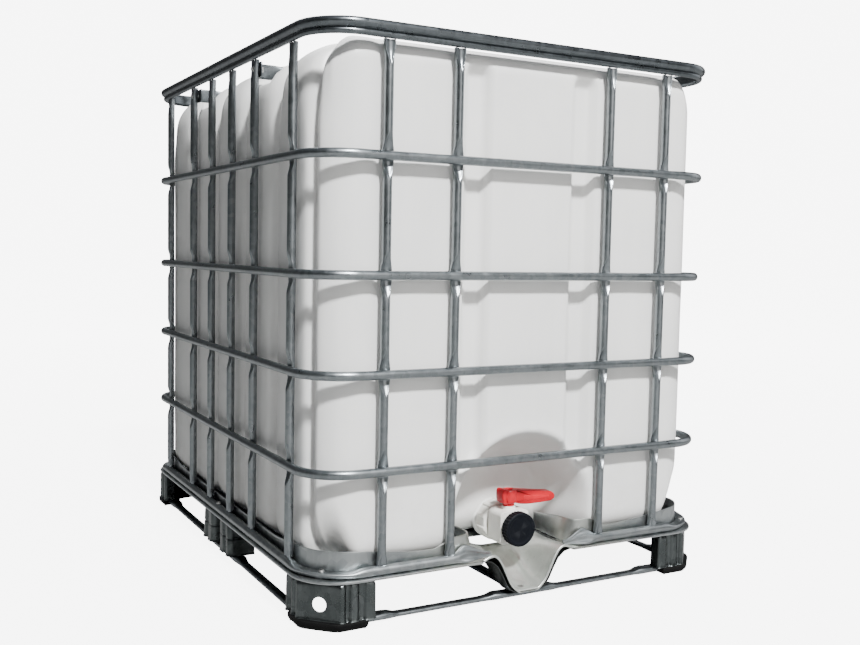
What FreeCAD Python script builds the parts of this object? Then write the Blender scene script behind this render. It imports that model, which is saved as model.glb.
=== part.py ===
import FreeCAD, Part
import math
import os
import Sketcher
from FreeCAD import Placement, Rotation, Vector

# Intermediate bulk container: sheet-steel pallet on a skid frame, galvanised tube cage,
# blow-moulded inner bottle with a screw lid on top and a ball valve in the front face.
# Frame: +Z up, +X right, the valve faces -Y (front), origin on the floor under the centre.
# Lengths are in millimetres.

doc = FreeCAD.newDocument("ibc")
sheet = doc.addObject("Spreadsheet::Sheet", "Dimensions")

# alias, value, what it is
VALUES = [
    # overall
    ("pallet_x", 1000, "outside width across the valve face"),
    ("pallet_y", 1200, "outside length"),
    ("total_z", 1160, "floor to the top of the top rail"),
    # cage tubes
    ("tube_r", 9, "radius of ring and upright tubes"),
    ("tube_wall", 1.1, "tube wall"),
    ("ring_inset", 9, "ring axis in from the outline"),
    ("ring_corner", 95, "bend radius of a ring, on the axis"),
    ("upright_inset", 15, "upright axis in from the outline"),
    ("upright_foot", 119.3, "lower end of the uprights"),
    ("upright_head", 1127, "upper end of the uprights"),
    ("ring_a_z", 910, "first ring below the top rail"),
    ("ring_b_z", 683, "second ring"),
    ("ring_c_z", 492, "third ring"),
    ("ring_d_z", 303, "fourth ring"),
    ("front_outer_x", 342, "outer front uprights"),
    ("front_inner_x", 188, "inner front uprights"),
    ("side_outer_y", 456, "outer side uprights"),
    ("side_mid_y", 232, "second side uprights"),
    ("side_inner_y", 77, "inner side uprights"),
    ("dent_half", 40, "half length of the dent at a crossing"),
    # bottom rail
    ("base_rail_r", 10, "bottom rail tube radius"),
    ("base_rail_inset", 12, "bottom rail axis in from the outline"),
    ("base_rail_z", 109.1, "bottom rail axis height"),
    ("base_rail_corner", 110, "bottom rail bend radius on the axis"),
    ("base_rail_gap", 118, "half opening of the bottom rail at the valve"),
    # crossbars
    ("crossbar_y", 213, "crossbar axis"),
    ("crossbar_z", 1108, "crossbar axis height"),
    ("crossbar_r", 10, "crossbar tube radius"),
    ("bolt_r", 3, "bolt shank radius"),
    ("bolt_hole_r", 3.2, "bolt hole radius"),
    ("rivet_hole_r", 4.2, "rivet hole radius"),
    # tray
    ("sheet_t", 1.5, "pallet sheet thickness"),
    ("tray_wall_inset", 25.5, "tray wall in from the outline"),
    ("tray_rim_z", 148, "top of the tray wall round its corners"),
    ("tray_mid_z", 132, "top of the tray wall between the corners"),
    ("tray_floor_z", 102, "top of the tray floor"),
    ("flange_z", 98.8, "top of the tray flange"),
    ("lip_z", 89, "lower edge of the flange lip"),
    ("outline_corner", 100, "outline corner radius"),
    # feet and skids
    ("foot_base_z", 18.2, "underside of the feet"),
    ("foot_top_z", 97.1, "top of the feet"),
    ("foot_x", 144, "corner foot width along X"),
    ("foot_y", 130, "corner foot width along Y"),
    ("foot_hole_r", 14.5, "inspection hole in the corner feet"),
    ("skid_inset_x", 31, "skid axis in from the outline"),
    ("skid_inset_y", 34, "skid axis in from the outline"),
    ("skid_w", 30, "skid tube width"),
    ("skid_low_z", 4, "underside of the skid tube"),
    ("skid_top_z", 18, "top of the skid tube"),
    # bottle
    ("bottle_x", 470.5, "half width of the bottle"),
    ("bottle_y", 570.5, "half length of the bottle"),
    ("bottle_low_z", 102.2, "underside of the bottle"),
    ("bottle_top_z", 1138, "top of the bottle's shoulders"),
    ("recess_z", 178, "height at which the valve recess starts to arch"),
    ("recess_wide", 172, "half width of the valve recess at the front"),
    ("recess_deep", 112, "half width of the valve recess at its back"),
    ("well_floor_z", 1094, "floor of the round well the filling neck stands in"),
    ("well_r", 122, "radius of that well"),
    ("bar_groove_z", 1079, "floor of the two grooves the top bars lie in"),
    ("bar_groove_y", 217, "centre of those grooves"),
    ("bar_groove_half", 37, "half width of those grooves"),
    ("bottle_wall", 3, "bottle wall"),
    ("bottle_corner", 92, "rounding of the bottle's upright corners"),
    ("bottle_edge", 52, "rounding of the bottle's upper and lower edges"),
    ("neck_r", 75, "filling neck outside radius"),
    ("neck_bore_r", 70, "filling neck bore radius"),
    ("neck_top_z", 1122, "filling neck rim"),
    ("lid_r", 87, "lid radius"),
    ("lid_top_z", 1134, "top of the lid"),
    # outlet valve
    ("outlet_z", 141, "outlet axis height"),
    ("ball_y", -512, "ball centre"),
    ("spout_r", 30, "outlet neck outside radius"),
    ("spout_bore_r", 24, "outlet neck bore radius"),
    ("ball_r", 27, "ball radius"),
    ("ball_bore_r", 19, "ball bore radius"),
    ("stem_r", 8, "stem radius"),
    ("cap_r", 37, "outlet cap radius"),
    ("cap_face", 51, "cap front face ahead of the ball centre"),
    ("lever_len", 118, "lever reach from the stem"),
]

for row, (alias, value, text) in enumerate(VALUES, start=1):
    sheet.set("A%d" % row, alias)
    sheet.set("B%d" % row, str(value))
    sheet.set("C%d" % row, text)
    sheet.setAlias("B%d" % row, alias)
doc.recompute()


# ---------------------------------------------------------------- sizes bound to the sheet
class Size:
    """A size: its expression on the sheet, and its value."""

    def __init__(self, expr, value):
        self.expr = expr
        self.value = float(value)

    def joined(self, sign, other, value):
        return Size("(%s %s %s)" % (self.expr, sign, other.expr), value)

    def __add__(self, other):
        other = sized(other)
        return self.joined("+", other, self.value + other.value)

    def __radd__(self, other):
        return sized(other) + self

    def __sub__(self, other):
        other = sized(other)
        return self.joined("-", other, self.value - other.value)

    def __rsub__(self, other):
        return sized(other) - self

    def __mul__(self, other):
        other = sized(other)
        return self.joined("*", other, self.value * other.value)

    __rmul__ = __mul__

    def __truediv__(self, other):
        other = sized(other)
        return self.joined("/", other, self.value / other.value)

    def __neg__(self):
        return Size("(0 - %s)" % self.expr, -self.value)


def sized(number):
    """A plain number as a Size; a Size stays as it is."""
    if isinstance(number, Size):
        return number
    value = float(number)
    return Size("%.6f" % value if value >= 0 else "(0 - %.6f)" % -value, value)


class Names:
    pass


dim = Names()       # the sheet's dimensions as Sizes
num = Names()       # the same as plain numbers
for alias, value, text in VALUES:
    setattr(dim, alias, Size("Dimensions." + alias, sheet.get(alias)))
    setattr(num, alias, getattr(dim, alias).value)


def bind(obj, prop, size):
    """Drive a property by the sheet, when its size comes from there."""
    if "Dimensions" in size.expr:
        obj.setExpression(prop, size.expr)


def set_size(obj, prop, size):
    size = sized(size)
    setattr(obj, prop, size.value)
    bind(obj, prop, size)


# ---------------------------------------------------------------- document objects
NODES = []          # the pieces to export
X_AXIS = Vector(1, 0, 0)
Y_AXIS = Vector(0, 1, 0)
Z_AXIS = Vector(0, 0, 1)
FORWARD = Rotation(X_AXIS, 90)          # local +Z becomes world -Y
RIGHTWARD = Rotation(Y_AXIS, 90)        # local +Z becomes world +X


def node(obj):
    """Mark an object for export; its Label, the name it was made with, names its file."""
    NODES.append(obj)


def place(obj, x=0, y=0, z=0, rot=None):
    x, y, z = sized(x), sized(y), sized(z)
    obj.Placement = Placement(Vector(x.value, y.value, z.value), rot or Rotation())
    for key, size in (("x", x), ("y", y), ("z", z)):
        bind(obj, "Placement.Base." + key, size)
    return obj


def box(name, x0, y0, z0, x1, y1, z1):
    block = doc.addObject("Part::Box", name)
    set_size(block, "Length", sized(x1) - x0)
    set_size(block, "Width", sized(y1) - y0)
    set_size(block, "Height", sized(z1) - z0)
    return place(block, x0, y0, z0)


def cyl(name, radius, length, x=0, y=0, z=0, rot=None):
    rod = doc.addObject("Part::Cylinder", name)
    set_size(rod, "Radius", radius)
    set_size(rod, "Height", length)
    return place(rod, x, y, z, rot)


def sphere(name, radius, x, y, z):
    ball = doc.addObject("Part::Sphere", name)
    set_size(ball, "Radius", radius)
    return place(ball, x, y, z)


def cut(name, base, tool):
    result = doc.addObject("Part::Cut", name)
    result.Base = base
    result.Tool = tool
    return result


def fuse(name, *shapes):
    result = doc.addObject("Part::MultiFuse", name)
    result.Shapes = list(shapes)
    return result


def compound(name, *links):
    result = doc.addObject("Part::Compound", name)
    result.Links = list(links)
    return result


def feature(name, shape, x=0, y=0, z=0, rot=None):
    """A copy of a shape as an object, placed."""
    obj = doc.addObject("Part::Feature", name)
    obj.Shape = shape.copy()
    return place(obj, x, y, z, rot)


# ---------------------------------------------------------------- sketches and bodies
def sketch(body, name, role, offset=None):
    """Sketch on one of the body's origin planes, moved along the plane's normal."""
    plane = next(f for f in body.Origin.OriginFeatures if f.Role == role)
    drawn = body.newObject("Sketcher::SketchObject", name)
    drawn.AttachmentSupport = [(plane, "")]
    drawn.MapMode = "FlatFace"
    if offset is not None:
        offset = sized(offset)
        drawn.AttachmentOffset = Placement(Vector(0, 0, offset.value), Rotation())
        bind(drawn, "AttachmentOffset.Base.z", offset)
    return drawn


def pin_point(drawn, geo, pos, x, y):
    """Fix one vertex of a sketch at two sizes of the sheet."""
    for kind, size, axis in (("DistanceX", sized(x), -2), ("DistanceY", sized(y), -1)):
        if abs(size.value) < 1e-9:
            drawn.addConstraint(Sketcher.Constraint("PointOnObject", geo, pos, axis))
        else:
            index = drawn.addConstraint(
                Sketcher.Constraint(kind, -1, 1, geo, pos, size.value))
            bind(drawn, "Constraints[%d]" % index, size)


def join_ends(drawn, geo, pos, other_geo, other_pos):
    drawn.addConstraint(Sketcher.Constraint("Coincident", geo, pos, other_geo, other_pos))


def draw_line(drawn, start, end):
    drawn.addGeometry(Part.LineSegment(Vector(start[0].value, start[1].value, 0),
                                       Vector(end[0].value, end[1].value, 0)), False)


def draw_polygon(drawn, points):
    """Closed polygon of straight lines, every vertex held by the sheet."""
    points = [(sized(a), sized(b)) for a, b in points]
    count = len(points)
    for k in range(count):
        draw_line(drawn, points[k], points[(k + 1) % count])
    for k in range(count):
        join_ends(drawn, k, 2, (k + 1) % count, 1)
    for k in range(count):
        pin_point(drawn, k, 1, *points[k])


def draw_rounded(drawn, half_x, half_y, corner, gap=None):
    """Rounded rectangle in the sketch plane. With a gap it is an open run that starts and
    ends beside the gap in the middle of the -Y side."""
    hx, hy, r = sized(half_x), sized(half_y), sized(corner)
    g = sized(0 if gap is None else gap)
    lines = [
        ((g, -hy), (hx - r, -hy)),
        ((hx, r - hy), (hx, hy - r)),
        ((hx - r, hy), (r - hx, hy)),
        ((-hx, hy - r), (-hx, r - hy)),
        ((r - hx, -hy), (-g, -hy)),
    ]
    for start, end in lines:
        draw_line(drawn, start, end)
    for side_x, side_y, angle in ((1, -1, -90), (1, 1, 0), (-1, 1, 90), (-1, -1, 180)):
        centre = Vector(side_x * (hx.value - r.value), side_y * (hy.value - r.value), 0)
        circle = Part.Circle(centre, Z_AXIS, r.value)
        drawn.addGeometry(
            Part.ArcOfCircle(circle, math.radians(angle), math.radians(angle + 90)), False)
    for k, (start, end) in enumerate(lines):
        pin_point(drawn, k, 1, *start)
        if k == 4 and gap is None:
            join_ends(drawn, 4, 2, 0, 1)
        else:
            pin_point(drawn, k, 2, *end)
    for k in range(4):
        join_ends(drawn, 5 + k, 1, k, 2)
        join_ends(drawn, 5 + k, 2, k + 1, 1)


def draw_tube_section(drawn, radius, half_y):
    drawn.addGeometry(Part.Circle(Vector(-half_y.value, 0, 0), Z_AXIS, radius.value), False)
    pin_point(drawn, 0, 3, -half_y, 0)
    index = drawn.addConstraint(Sketcher.Constraint("Radius", 0, radius.value))
    bind(drawn, "Constraints[%d]" % index, radius)


def draw_rolled_section(drawn, points, half_y):
    """Section given as points (out, up) from the path."""
    draw_polygon(drawn, [(-half_y - out, up) for out, up in points])


def hollow_ring(name, draw, skin, bore, half_x, half_y, corner, z, gap=None):
    """Hollow section swept round a rounded rectangle at height z: the skin is swept, then
    the bore is swept out of it. draw puts either section into a sketch."""
    body = doc.addObject("PartDesign::Body", name)
    path = sketch(body, name + "_path", "XY_Plane")
    draw_rounded(path, half_x, half_y, corner, gap)
    for kind, section, tag in (("AdditivePipe", skin, "skin"),
                               ("SubtractivePipe", bore, "bore")):
        profile = sketch(body, "%s_%s" % (name, tag), "YZ_Plane", gap)
        draw(profile, section, half_y)
        doc.recompute()
        pipe = body.newObject("PartDesign::" + kind, "%s_%s_sweep" % (name, tag))
        pipe.Profile = profile
        pipe.Spine = path
        profile.Visibility = False
        doc.recompute()
        body.Tip = pipe
    return place(body, 0, 0, z)


def turned(name, points, x=0, y=0, z=0, rot=None):
    """A turned piece: profile (radius, height) revolved about its own Z axis."""
    body = doc.addObject("PartDesign::Body", name)
    profile = sketch(body, name + "_profile", "XZ_Plane")
    draw_polygon(profile, points)
    doc.recompute()
    turn = body.newObject("PartDesign::Revolution", name + "_turn")
    turn.Profile = profile
    turn.ReferenceAxis = (profile, ["V_Axis"])
    turn.Angle = 360
    doc.recompute()
    body.Tip = turn
    return place(body, x, y, z, rot)


def pad_sketch(body, name, profile, height):
    doc.recompute()
    pad = body.newObject("PartDesign::Pad", name + "_pad")
    pad.Profile = profile
    set_size(pad, "Length", height)
    doc.recompute()
    body.Tip = pad
    return body


def side_plate(name, points, width, y):
    """Polygon (x, z) padded along Y, its width centred on y."""
    body = doc.addObject("PartDesign::Body", name)
    outline = sketch(body, name + "_outline", "XZ_Plane", -width / 2)
    draw_polygon(outline, points)
    return place(pad_sketch(body, name, outline, width), 0, y, 0)


def rounded_slab(name, half_x, half_y, corner, z0, z1):
    """Rounded rectangle plate between two heights."""
    body = doc.addObject("PartDesign::Body", name)
    outline = sketch(body, name + "_outline", "XY_Plane", z0)
    draw_rounded(outline, half_x, half_y, corner)
    return pad_sketch(body, name, outline, sized(z1) - z0)


# ---------------------------------------------------------------- plain shapes
def closed_wire(points):
    return Part.makePolygon(points + points[:1])


def level_wire(points, z):
    return closed_wire([Vector(x, y, z) for x, y in points])


def prism_up(points, z, height):
    """Polygon (x, y) extruded upwards from z."""
    return Part.Face(level_wire(points, z)).extrude(Vector(0, 0, height))


def prism_back(points, y0, y1):
    """Polygon (x, z) extruded from y0 back to y1."""
    wire = closed_wire([Vector(x, y0, z) for x, z in points])
    return Part.Face(wire).extrude(Vector(0, y1 - y0, 0))


def level_loft(low, high, z0, z1):
    return Part.makeLoft([level_wire(low, z0), level_wire(high, z1)], True, True)


def drilled(shape, x, y, z0, z1, radius):
    return shape.cut(Part.makeCylinder(radius, z1 - z0, Vector(x, y, z0)))


def mirrored(shape, side_x, side_y):
    """A shape made for the front left corner, turned over for another corner."""
    shape = shape.copy()
    if side_x > 0:
        shape = shape.mirror(Vector(), X_AXIS)
    if side_y > 0:
        shape = shape.mirror(Vector(), Y_AXIS)
    return shape


def eased(t):
    return t * t * (3 - 2 * t)


# ---------------------------------------------------------------- shared places
HALF_X = dim.pallet_x / 2
HALF_Y = dim.pallet_y / 2
UPRIGHT_X = HALF_X - dim.upright_inset
UPRIGHT_Y = HALF_Y - dim.upright_inset
BASE_RAIL_X = HALF_X - dim.base_rail_inset
BASE_RAIL_Y = HALF_Y - dim.base_rail_inset
SKID_X = (HALF_X - dim.skid_inset_x).value
SKID_Y = (HALF_Y - dim.skid_inset_y).value
BALL_Y = dim.ball_y
OUTLET_Z = dim.outlet_z

# side along X (-1 left, 1 right), side along Y (-1 front, 1 rear)
CORNERS = [(-1, -1), (-1, 1), (1, -1), (1, 1)]

# rail bolts stand in the middle of the bottom rail's bends and of its two long sides
BEND_TO_CHORD = 1 - math.sqrt(0.5)
CORNER_BOLT_X = BASE_RAIL_X - dim.base_rail_corner * BEND_TO_CHORD
CORNER_BOLT_Y = BASE_RAIL_Y - dim.base_rail_corner * BEND_TO_CHORD
CORNER_BOLTS = [(CORNER_BOLT_X * sx, CORNER_BOLT_Y * sy) for sx, sy in CORNERS]
SIDE_BOLTS = [(BASE_RAIL_X * side, 0) for side in (-1, 1)]
RAIL_BOLTS = CORNER_BOLTS + SIDE_BOLTS

# rivets between feet and skids
CORNER_RIVET_Y = 500.0
MID_RIVET_SHIFT = 60.0      # middle foot rivets sit this far along the skid
CENTRE_RIVET = (0.0, 20.0)
RING_RIVETS = [(sx * SKID_X, sy * CORNER_RIVET_Y) for sx, sy in CORNERS]
RING_RIVETS += [(-SKID_X, MID_RIVET_SHIFT), (SKID_X, MID_RIVET_SHIFT),
                (MID_RIVET_SHIFT, SKID_Y), (0.0, -SKID_Y)]


def drills(name, radius, length, z, places):
    return fuse(name + "s", *[cyl("%s_%d" % (name, k), radius, length, x, y, z)
                              for k, (x, y) in enumerate(places)])


# ---------------------------------------------------------------- cage rings and rails
TOP_RAIL_WALL = 1.2
TOP_RAIL_INSET = 10         # top rail path in from the outline
TOP_RAIL_DROP = 32          # path below the top of the rail
BASE_RAIL_WALL = 1.5

# top rail beads: centre out, centre up, radius, first angle, sweep, steps
TOP_RAIL_BEADS = [
    (0.5, 22.5, 9.5, -52, 240, 12),     # upper, from the outer groove over the top
    (-3.5, 6.6, 6.5, 160, 250, 8),      # lower, from inside underneath to the outer groove
]


def tube_ring(name, radius, wall, half_x, half_y, corner, z, gap=None):
    return hollow_ring(name, draw_tube_section, radius, radius - wall,
                       half_x, half_y, corner, z, gap)


def build_rings():
    heights = (dim.ring_a_z, dim.ring_b_z, dim.ring_c_z, dim.ring_d_z)
    for k, z in enumerate(heights, start=1):
        node(tube_ring("cage_ring_%d" % k, dim.tube_r, dim.tube_wall,
                       HALF_X - dim.ring_inset, HALF_Y - dim.ring_inset, dim.ring_corner, z))


def bead_outline(inset):
    """Closed outline (out, up) of the top rail's section, inset inside its skin."""
    points = []
    for out, up, radius, first, sweep, steps in TOP_RAIL_BEADS:
        for k in range(steps + 1):
            angle = math.radians(first + sweep * k / steps)
            points.append((out + (radius - inset) * math.cos(angle),
                           up + (radius - inset) * math.sin(angle)))
    return points


def build_top_rail():
    node(hollow_ring("cage_top_rail", draw_rolled_section,
                     bead_outline(0), bead_outline(TOP_RAIL_WALL),
                     HALF_X - TOP_RAIL_INSET, HALF_Y - TOP_RAIL_INSET,
                     dim.ring_corner, dim.total_z - TOP_RAIL_DROP))


def build_bottom_rail():
    """Tube open at the valve, drilled for its bolts."""
    tube = tube_ring("base_rail_tube", dim.base_rail_r, BASE_RAIL_WALL, BASE_RAIL_X,
                     BASE_RAIL_Y, dim.base_rail_corner, dim.base_rail_z, dim.base_rail_gap)
    node(cut("cage_bottom_rail", tube,
             drills("rail_drill", dim.bolt_hole_r, 60, 80, RAIL_BOLTS)))


# ---------------------------------------------------------------- uprights
RING_HEIGHTS = [num.ring_a_z, num.ring_b_z, num.ring_c_z, num.ring_d_z]
RING_OUTBOARD = num.upright_inset - num.ring_inset  # ring axis outboard of the upright's
RING_CLEARANCE = 0.15
DENT_FLAT_HALF = 8.0        # half length of the dent's full depth
DENT_WIDENING = 3.0         # growth of the half width in a dent
FOOT_PINCH_LEN = 26.0
HEAD_PINCH_LEN = 34.0
PINCH_FACE = -1.0           # outer face that a pinched end tends to
PINCH_SHARE = 0.9           # part of the way it gets there
PINCH_WIDENING = 3.5        # growth of the half width at a pinched end

# loft stations, as distances from the lower end, the upper end and each ring
FOOT_STEPS = (0, 6, 13, 20, 27)
HEAD_STEPS = (0, 8, 16, 25, 35)
DENT_STEPS = (8, 16, 24, 32, 40)


def upright_section(z):
    """Half width, outer face and inner face of an upright at height z. The outer face is
    pressed in where a ring crosses, and both ends are pinched flat."""
    radius = num.tube_r
    outer = half_width = radius
    dent_face = RING_OUTBOARD - radius - RING_CLEARANCE
    for ring_z in RING_HEIGHTS:
        away = abs(z - ring_z)
        if away < num.dent_half:
            t = (num.dent_half - away) / (num.dent_half - DENT_FLAT_HALF)
            t = eased(max(0.0, min(1.0, t)))
            outer = min(outer, radius + (dent_face - radius) * t)
            half_width = max(half_width, radius + DENT_WIDENING * t)
    t = max(0.0, 1 - (z - num.upright_foot) / FOOT_PINCH_LEN,
            1 - (num.upright_head - z) / HEAD_PINCH_LEN)
    if t > 0:
        t = eased(t)
        outer = outer + (PINCH_FACE - outer) * t * PINCH_SHARE
        half_width = max(half_width, radius + PINCH_WIDENING * t)
    return half_width, outer, -radius


def upright_levels():
    levels = {num.upright_foot + step for step in FOOT_STEPS}
    levels |= {num.upright_head - step for step in HEAD_STEPS}
    levels |= {z + side * step for z in RING_HEIGHTS for step in DENT_STEPS
               for side in (-1, 1)}
    return sorted(levels)


def upright_loft(inset, overrun):
    """Loft of elliptical sections, inset inside the skin and run past both ends. The
    outer face looks to -Y."""
    wires = []
    levels = upright_levels()
    for k, z in enumerate(levels):
        half_width, outer, inner = upright_section(z)
        half_width -= inset
        half_depth = (outer - inner) / 2 - inset
        y = -(outer + inner) / 2
        if k == 0:
            z -= overrun
        if k == len(levels) - 1:
            z += overrun
        # an ellipse needs a major axis longer than the minor one
        if half_width <= half_depth + 0.01:
            half_width += 0.02
        ellipse = Part.Ellipse(Vector(half_width, y, z), Vector(0, y + half_depth, z),
                               Vector(0, y, z))
        wires.append(Part.Wire([ellipse.toShape()]))
    return Part.makeLoft(wires, True, True)


def upright_row(side, shape, places, turn):
    rot = Rotation(Z_AXIS, turn)
    return [feature("%s_upright_%d" % (side, k), shape, x, y, 0, rot)
            for k, (x, y) in enumerate(places)]


def build_uprights():
    shape = upright_loft(0, 0).cut(upright_loft(num.tube_wall, 1.0))
    end_places = [-dim.front_outer_x, -dim.front_inner_x, dim.front_inner_x,
                  dim.front_outer_x]
    for side, y, turn in (("front", -UPRIGHT_Y, 0), ("rear", UPRIGHT_Y, 180)):
        row = upright_row(side, shape, [(x, y) for x in end_places], turn)
        node(compound(side + "_verticals", *row))
    side_places = [-dim.side_outer_y, -dim.side_mid_y, -dim.side_inner_y,
                   dim.side_inner_y, dim.side_mid_y, dim.side_outer_y]
    for side, sign, turn in (("left", -1, -90), ("right", 1, 90)):
        x = UPRIGHT_X * sign
        row = upright_row(side, shape, [(x, y) for y in side_places], turn)
        # the second upright from each end takes the crossbar bolt
        for k in (1, 4):
            drill = cyl("%s_drill_%d" % (side, k), dim.bolt_hole_r, 60, x - 30,
                        side_places[k], dim.crossbar_z, RIGHTWARD)
            row[k] = cut("%s_upright_%d_drilled" % (side, k), row[k], drill)
        node(compound(side + "_verticals", *row))


# ---------------------------------------------------------------- crossbars
CROSSBAR_END = num.pallet_x / 2 - num.upright_inset - num.tube_r - 0.2  # outer tab face
CROSSBAR_WALL = 1.2
CROSSBAR_PLUG = 4.0         # the bore stops this far short of the loft's ends
BLADE_HALF_Z = 16.5
BLADE_HALF_Y = 2.6
TAB_THICK = 3.0
TAB_LEN = 36.0
TAB_START_Y = -33.0

# distance from the end, flattening (0 round tube, 1 upright blade)
CROSSBAR_STATIONS = [(1.5, 1), (30, 1), (60, 0.45), (95, 0)]


def crossbar_loft(inset, overrun):
    half = [(CROSSBAR_END - back, flat) for back, flat in CROSSBAR_STATIONS]
    half[0] = (half[0][0] + overrun, half[0][1])
    wires = []
    for x, flat in [(-x, flat) for x, flat in half] + half[::-1]:
        half_z = num.crossbar_r + (BLADE_HALF_Z - num.crossbar_r) * flat - inset
        half_y = num.crossbar_r + (BLADE_HALF_Y - num.crossbar_r) * flat - inset
        # an ellipse needs a major axis longer than the minor one
        if half_z <= half_y:
            half_z = half_y + 0.02
        ellipse = Part.Ellipse(Vector(x, 0, half_z), Vector(x, half_y, 0), Vector(x, 0, 0))
        wires.append(Part.Wire([ellipse.toShape()]))
    return Part.makeLoft(wires, True, True)


def crossbar_shape():
    """Tube along X whose ends are squashed to upright blades with a bent tab."""
    bar = crossbar_loft(0, 0).cut(crossbar_loft(CROSSBAR_WALL, -CROSSBAR_PLUG))
    hole_y = -(num.side_mid_y - num.crossbar_y)
    for x in (-CROSSBAR_END, CROSSBAR_END - TAB_THICK):
        tab = Part.makeBox(TAB_THICK, TAB_LEN, 2 * BLADE_HALF_Z,
                           Vector(x, TAB_START_Y, -BLADE_HALF_Z))
        hole = Part.makeCylinder(num.bolt_hole_r, 10, Vector(x - 3, hole_y, 0), X_AXIS)
        bar = bar.fuse(tab).cut(hole)
    return bar


def build_crossbars():
    shape = crossbar_shape()
    node(feature("top_crossbar_front", shape, 0, -dim.crossbar_y, dim.crossbar_z))
    node(feature("top_crossbar_rear", shape, 0, dim.crossbar_y, dim.crossbar_z,
                 Rotation(Z_AXIS, 180)))


# ---------------------------------------------------------------- bolts and nuts
HEX_R = 5.7                 # across the corners, as a radius
HEAD_HEIGHT = 4.0
NUT_HEIGHT = 5.4
WASHER_THICK = 1.2
BOLT_WASHER_R = 6.6
NUT_WASHER_R = 6.0


def hex_prism(z, height):
    angles = [math.radians(60 * k) for k in range(6)]
    return prism_up([(HEX_R * math.cos(a), HEX_R * math.sin(a)) for a in angles], z, height)


def bolt_shape(length):
    """Hex flange bolt standing on z = 0 with its shank going down."""
    head = hex_prism(WASHER_THICK, HEAD_HEIGHT)
    head = head.fuse(Part.makeCylinder(BOLT_WASHER_R, WASHER_THICK))
    shank = Part.makeCylinder(num.bolt_r, length + 0.5, Vector(0, 0, -length))
    return head.fuse(shank).removeSplitter()


def nut_shape():
    """Hex flange nut hanging below z = 0, clear round the shank."""
    washer = Part.makeCylinder(NUT_WASHER_R, WASHER_THICK, Vector(0, 0, -WASHER_THICK))
    nut = hex_prism(-NUT_HEIGHT, NUT_HEIGHT).fuse(washer)
    return nut.cut(Part.makeCylinder(num.bolt_r + 0.05, 10, Vector(0, 0, -8)))


def build_crossbar_bolts():
    """Bolts from outside through upright and tab, nuts inside."""
    for kind, shape, x in (("bolt", bolt_shape(30.0), UPRIGHT_X + dim.tube_r + 0.2),
                           ("nut", nut_shape(), UPRIGHT_X - dim.tube_r - 3.4)):
        node(compound("crossbar_%ss" % kind, *[
            feature("crossbar_%s_%d" % (kind, k), shape, x * sx, dim.side_mid_y * sy,
                    dim.crossbar_z, Rotation(Y_AXIS, 90 * sx))
            for k, (sx, sy) in enumerate(CORNERS)]))


def build_rail_bolts():
    """Bolts down through the bottom rail; nuts lie in the corner feet and under the flange."""
    bolt_z = dim.base_rail_z + dim.base_rail_r + 0.1
    corner_nut_z = dim.foot_top_z - 2.2
    side_nut_z = dim.flange_z - dim.sheet_t - 0.2
    nut_heights = [corner_nut_z] * len(CORNER_BOLTS) + [side_nut_z] * len(SIDE_BOLTS)
    bolt, nut = bolt_shape(33.0), nut_shape()
    node(compound("rail_bolts", *[feature("rail_bolt_%d" % k, bolt, x, y, bolt_z)
                                  for k, (x, y) in enumerate(RAIL_BOLTS)]))
    node(compound("rail_nuts", *[feature("rail_nut_%d" % k, nut, x, y, nut_heights[k])
                                 for k, (x, y) in enumerate(RAIL_BOLTS)]))


# ---------------------------------------------------------------- pallet tray
TRAY_GAP_HALF = 112         # half width of the valve opening
TRAY_GAP_BACK = -440        # back of the valve opening
CHEEK_BACK = -445           # rear end of the sheets beside the opening
DROP_HALF_X = 300           # half length of the lowered front and rear walls
DROP_HALF_Y = 400           # half length of the lowered side walls


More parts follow.
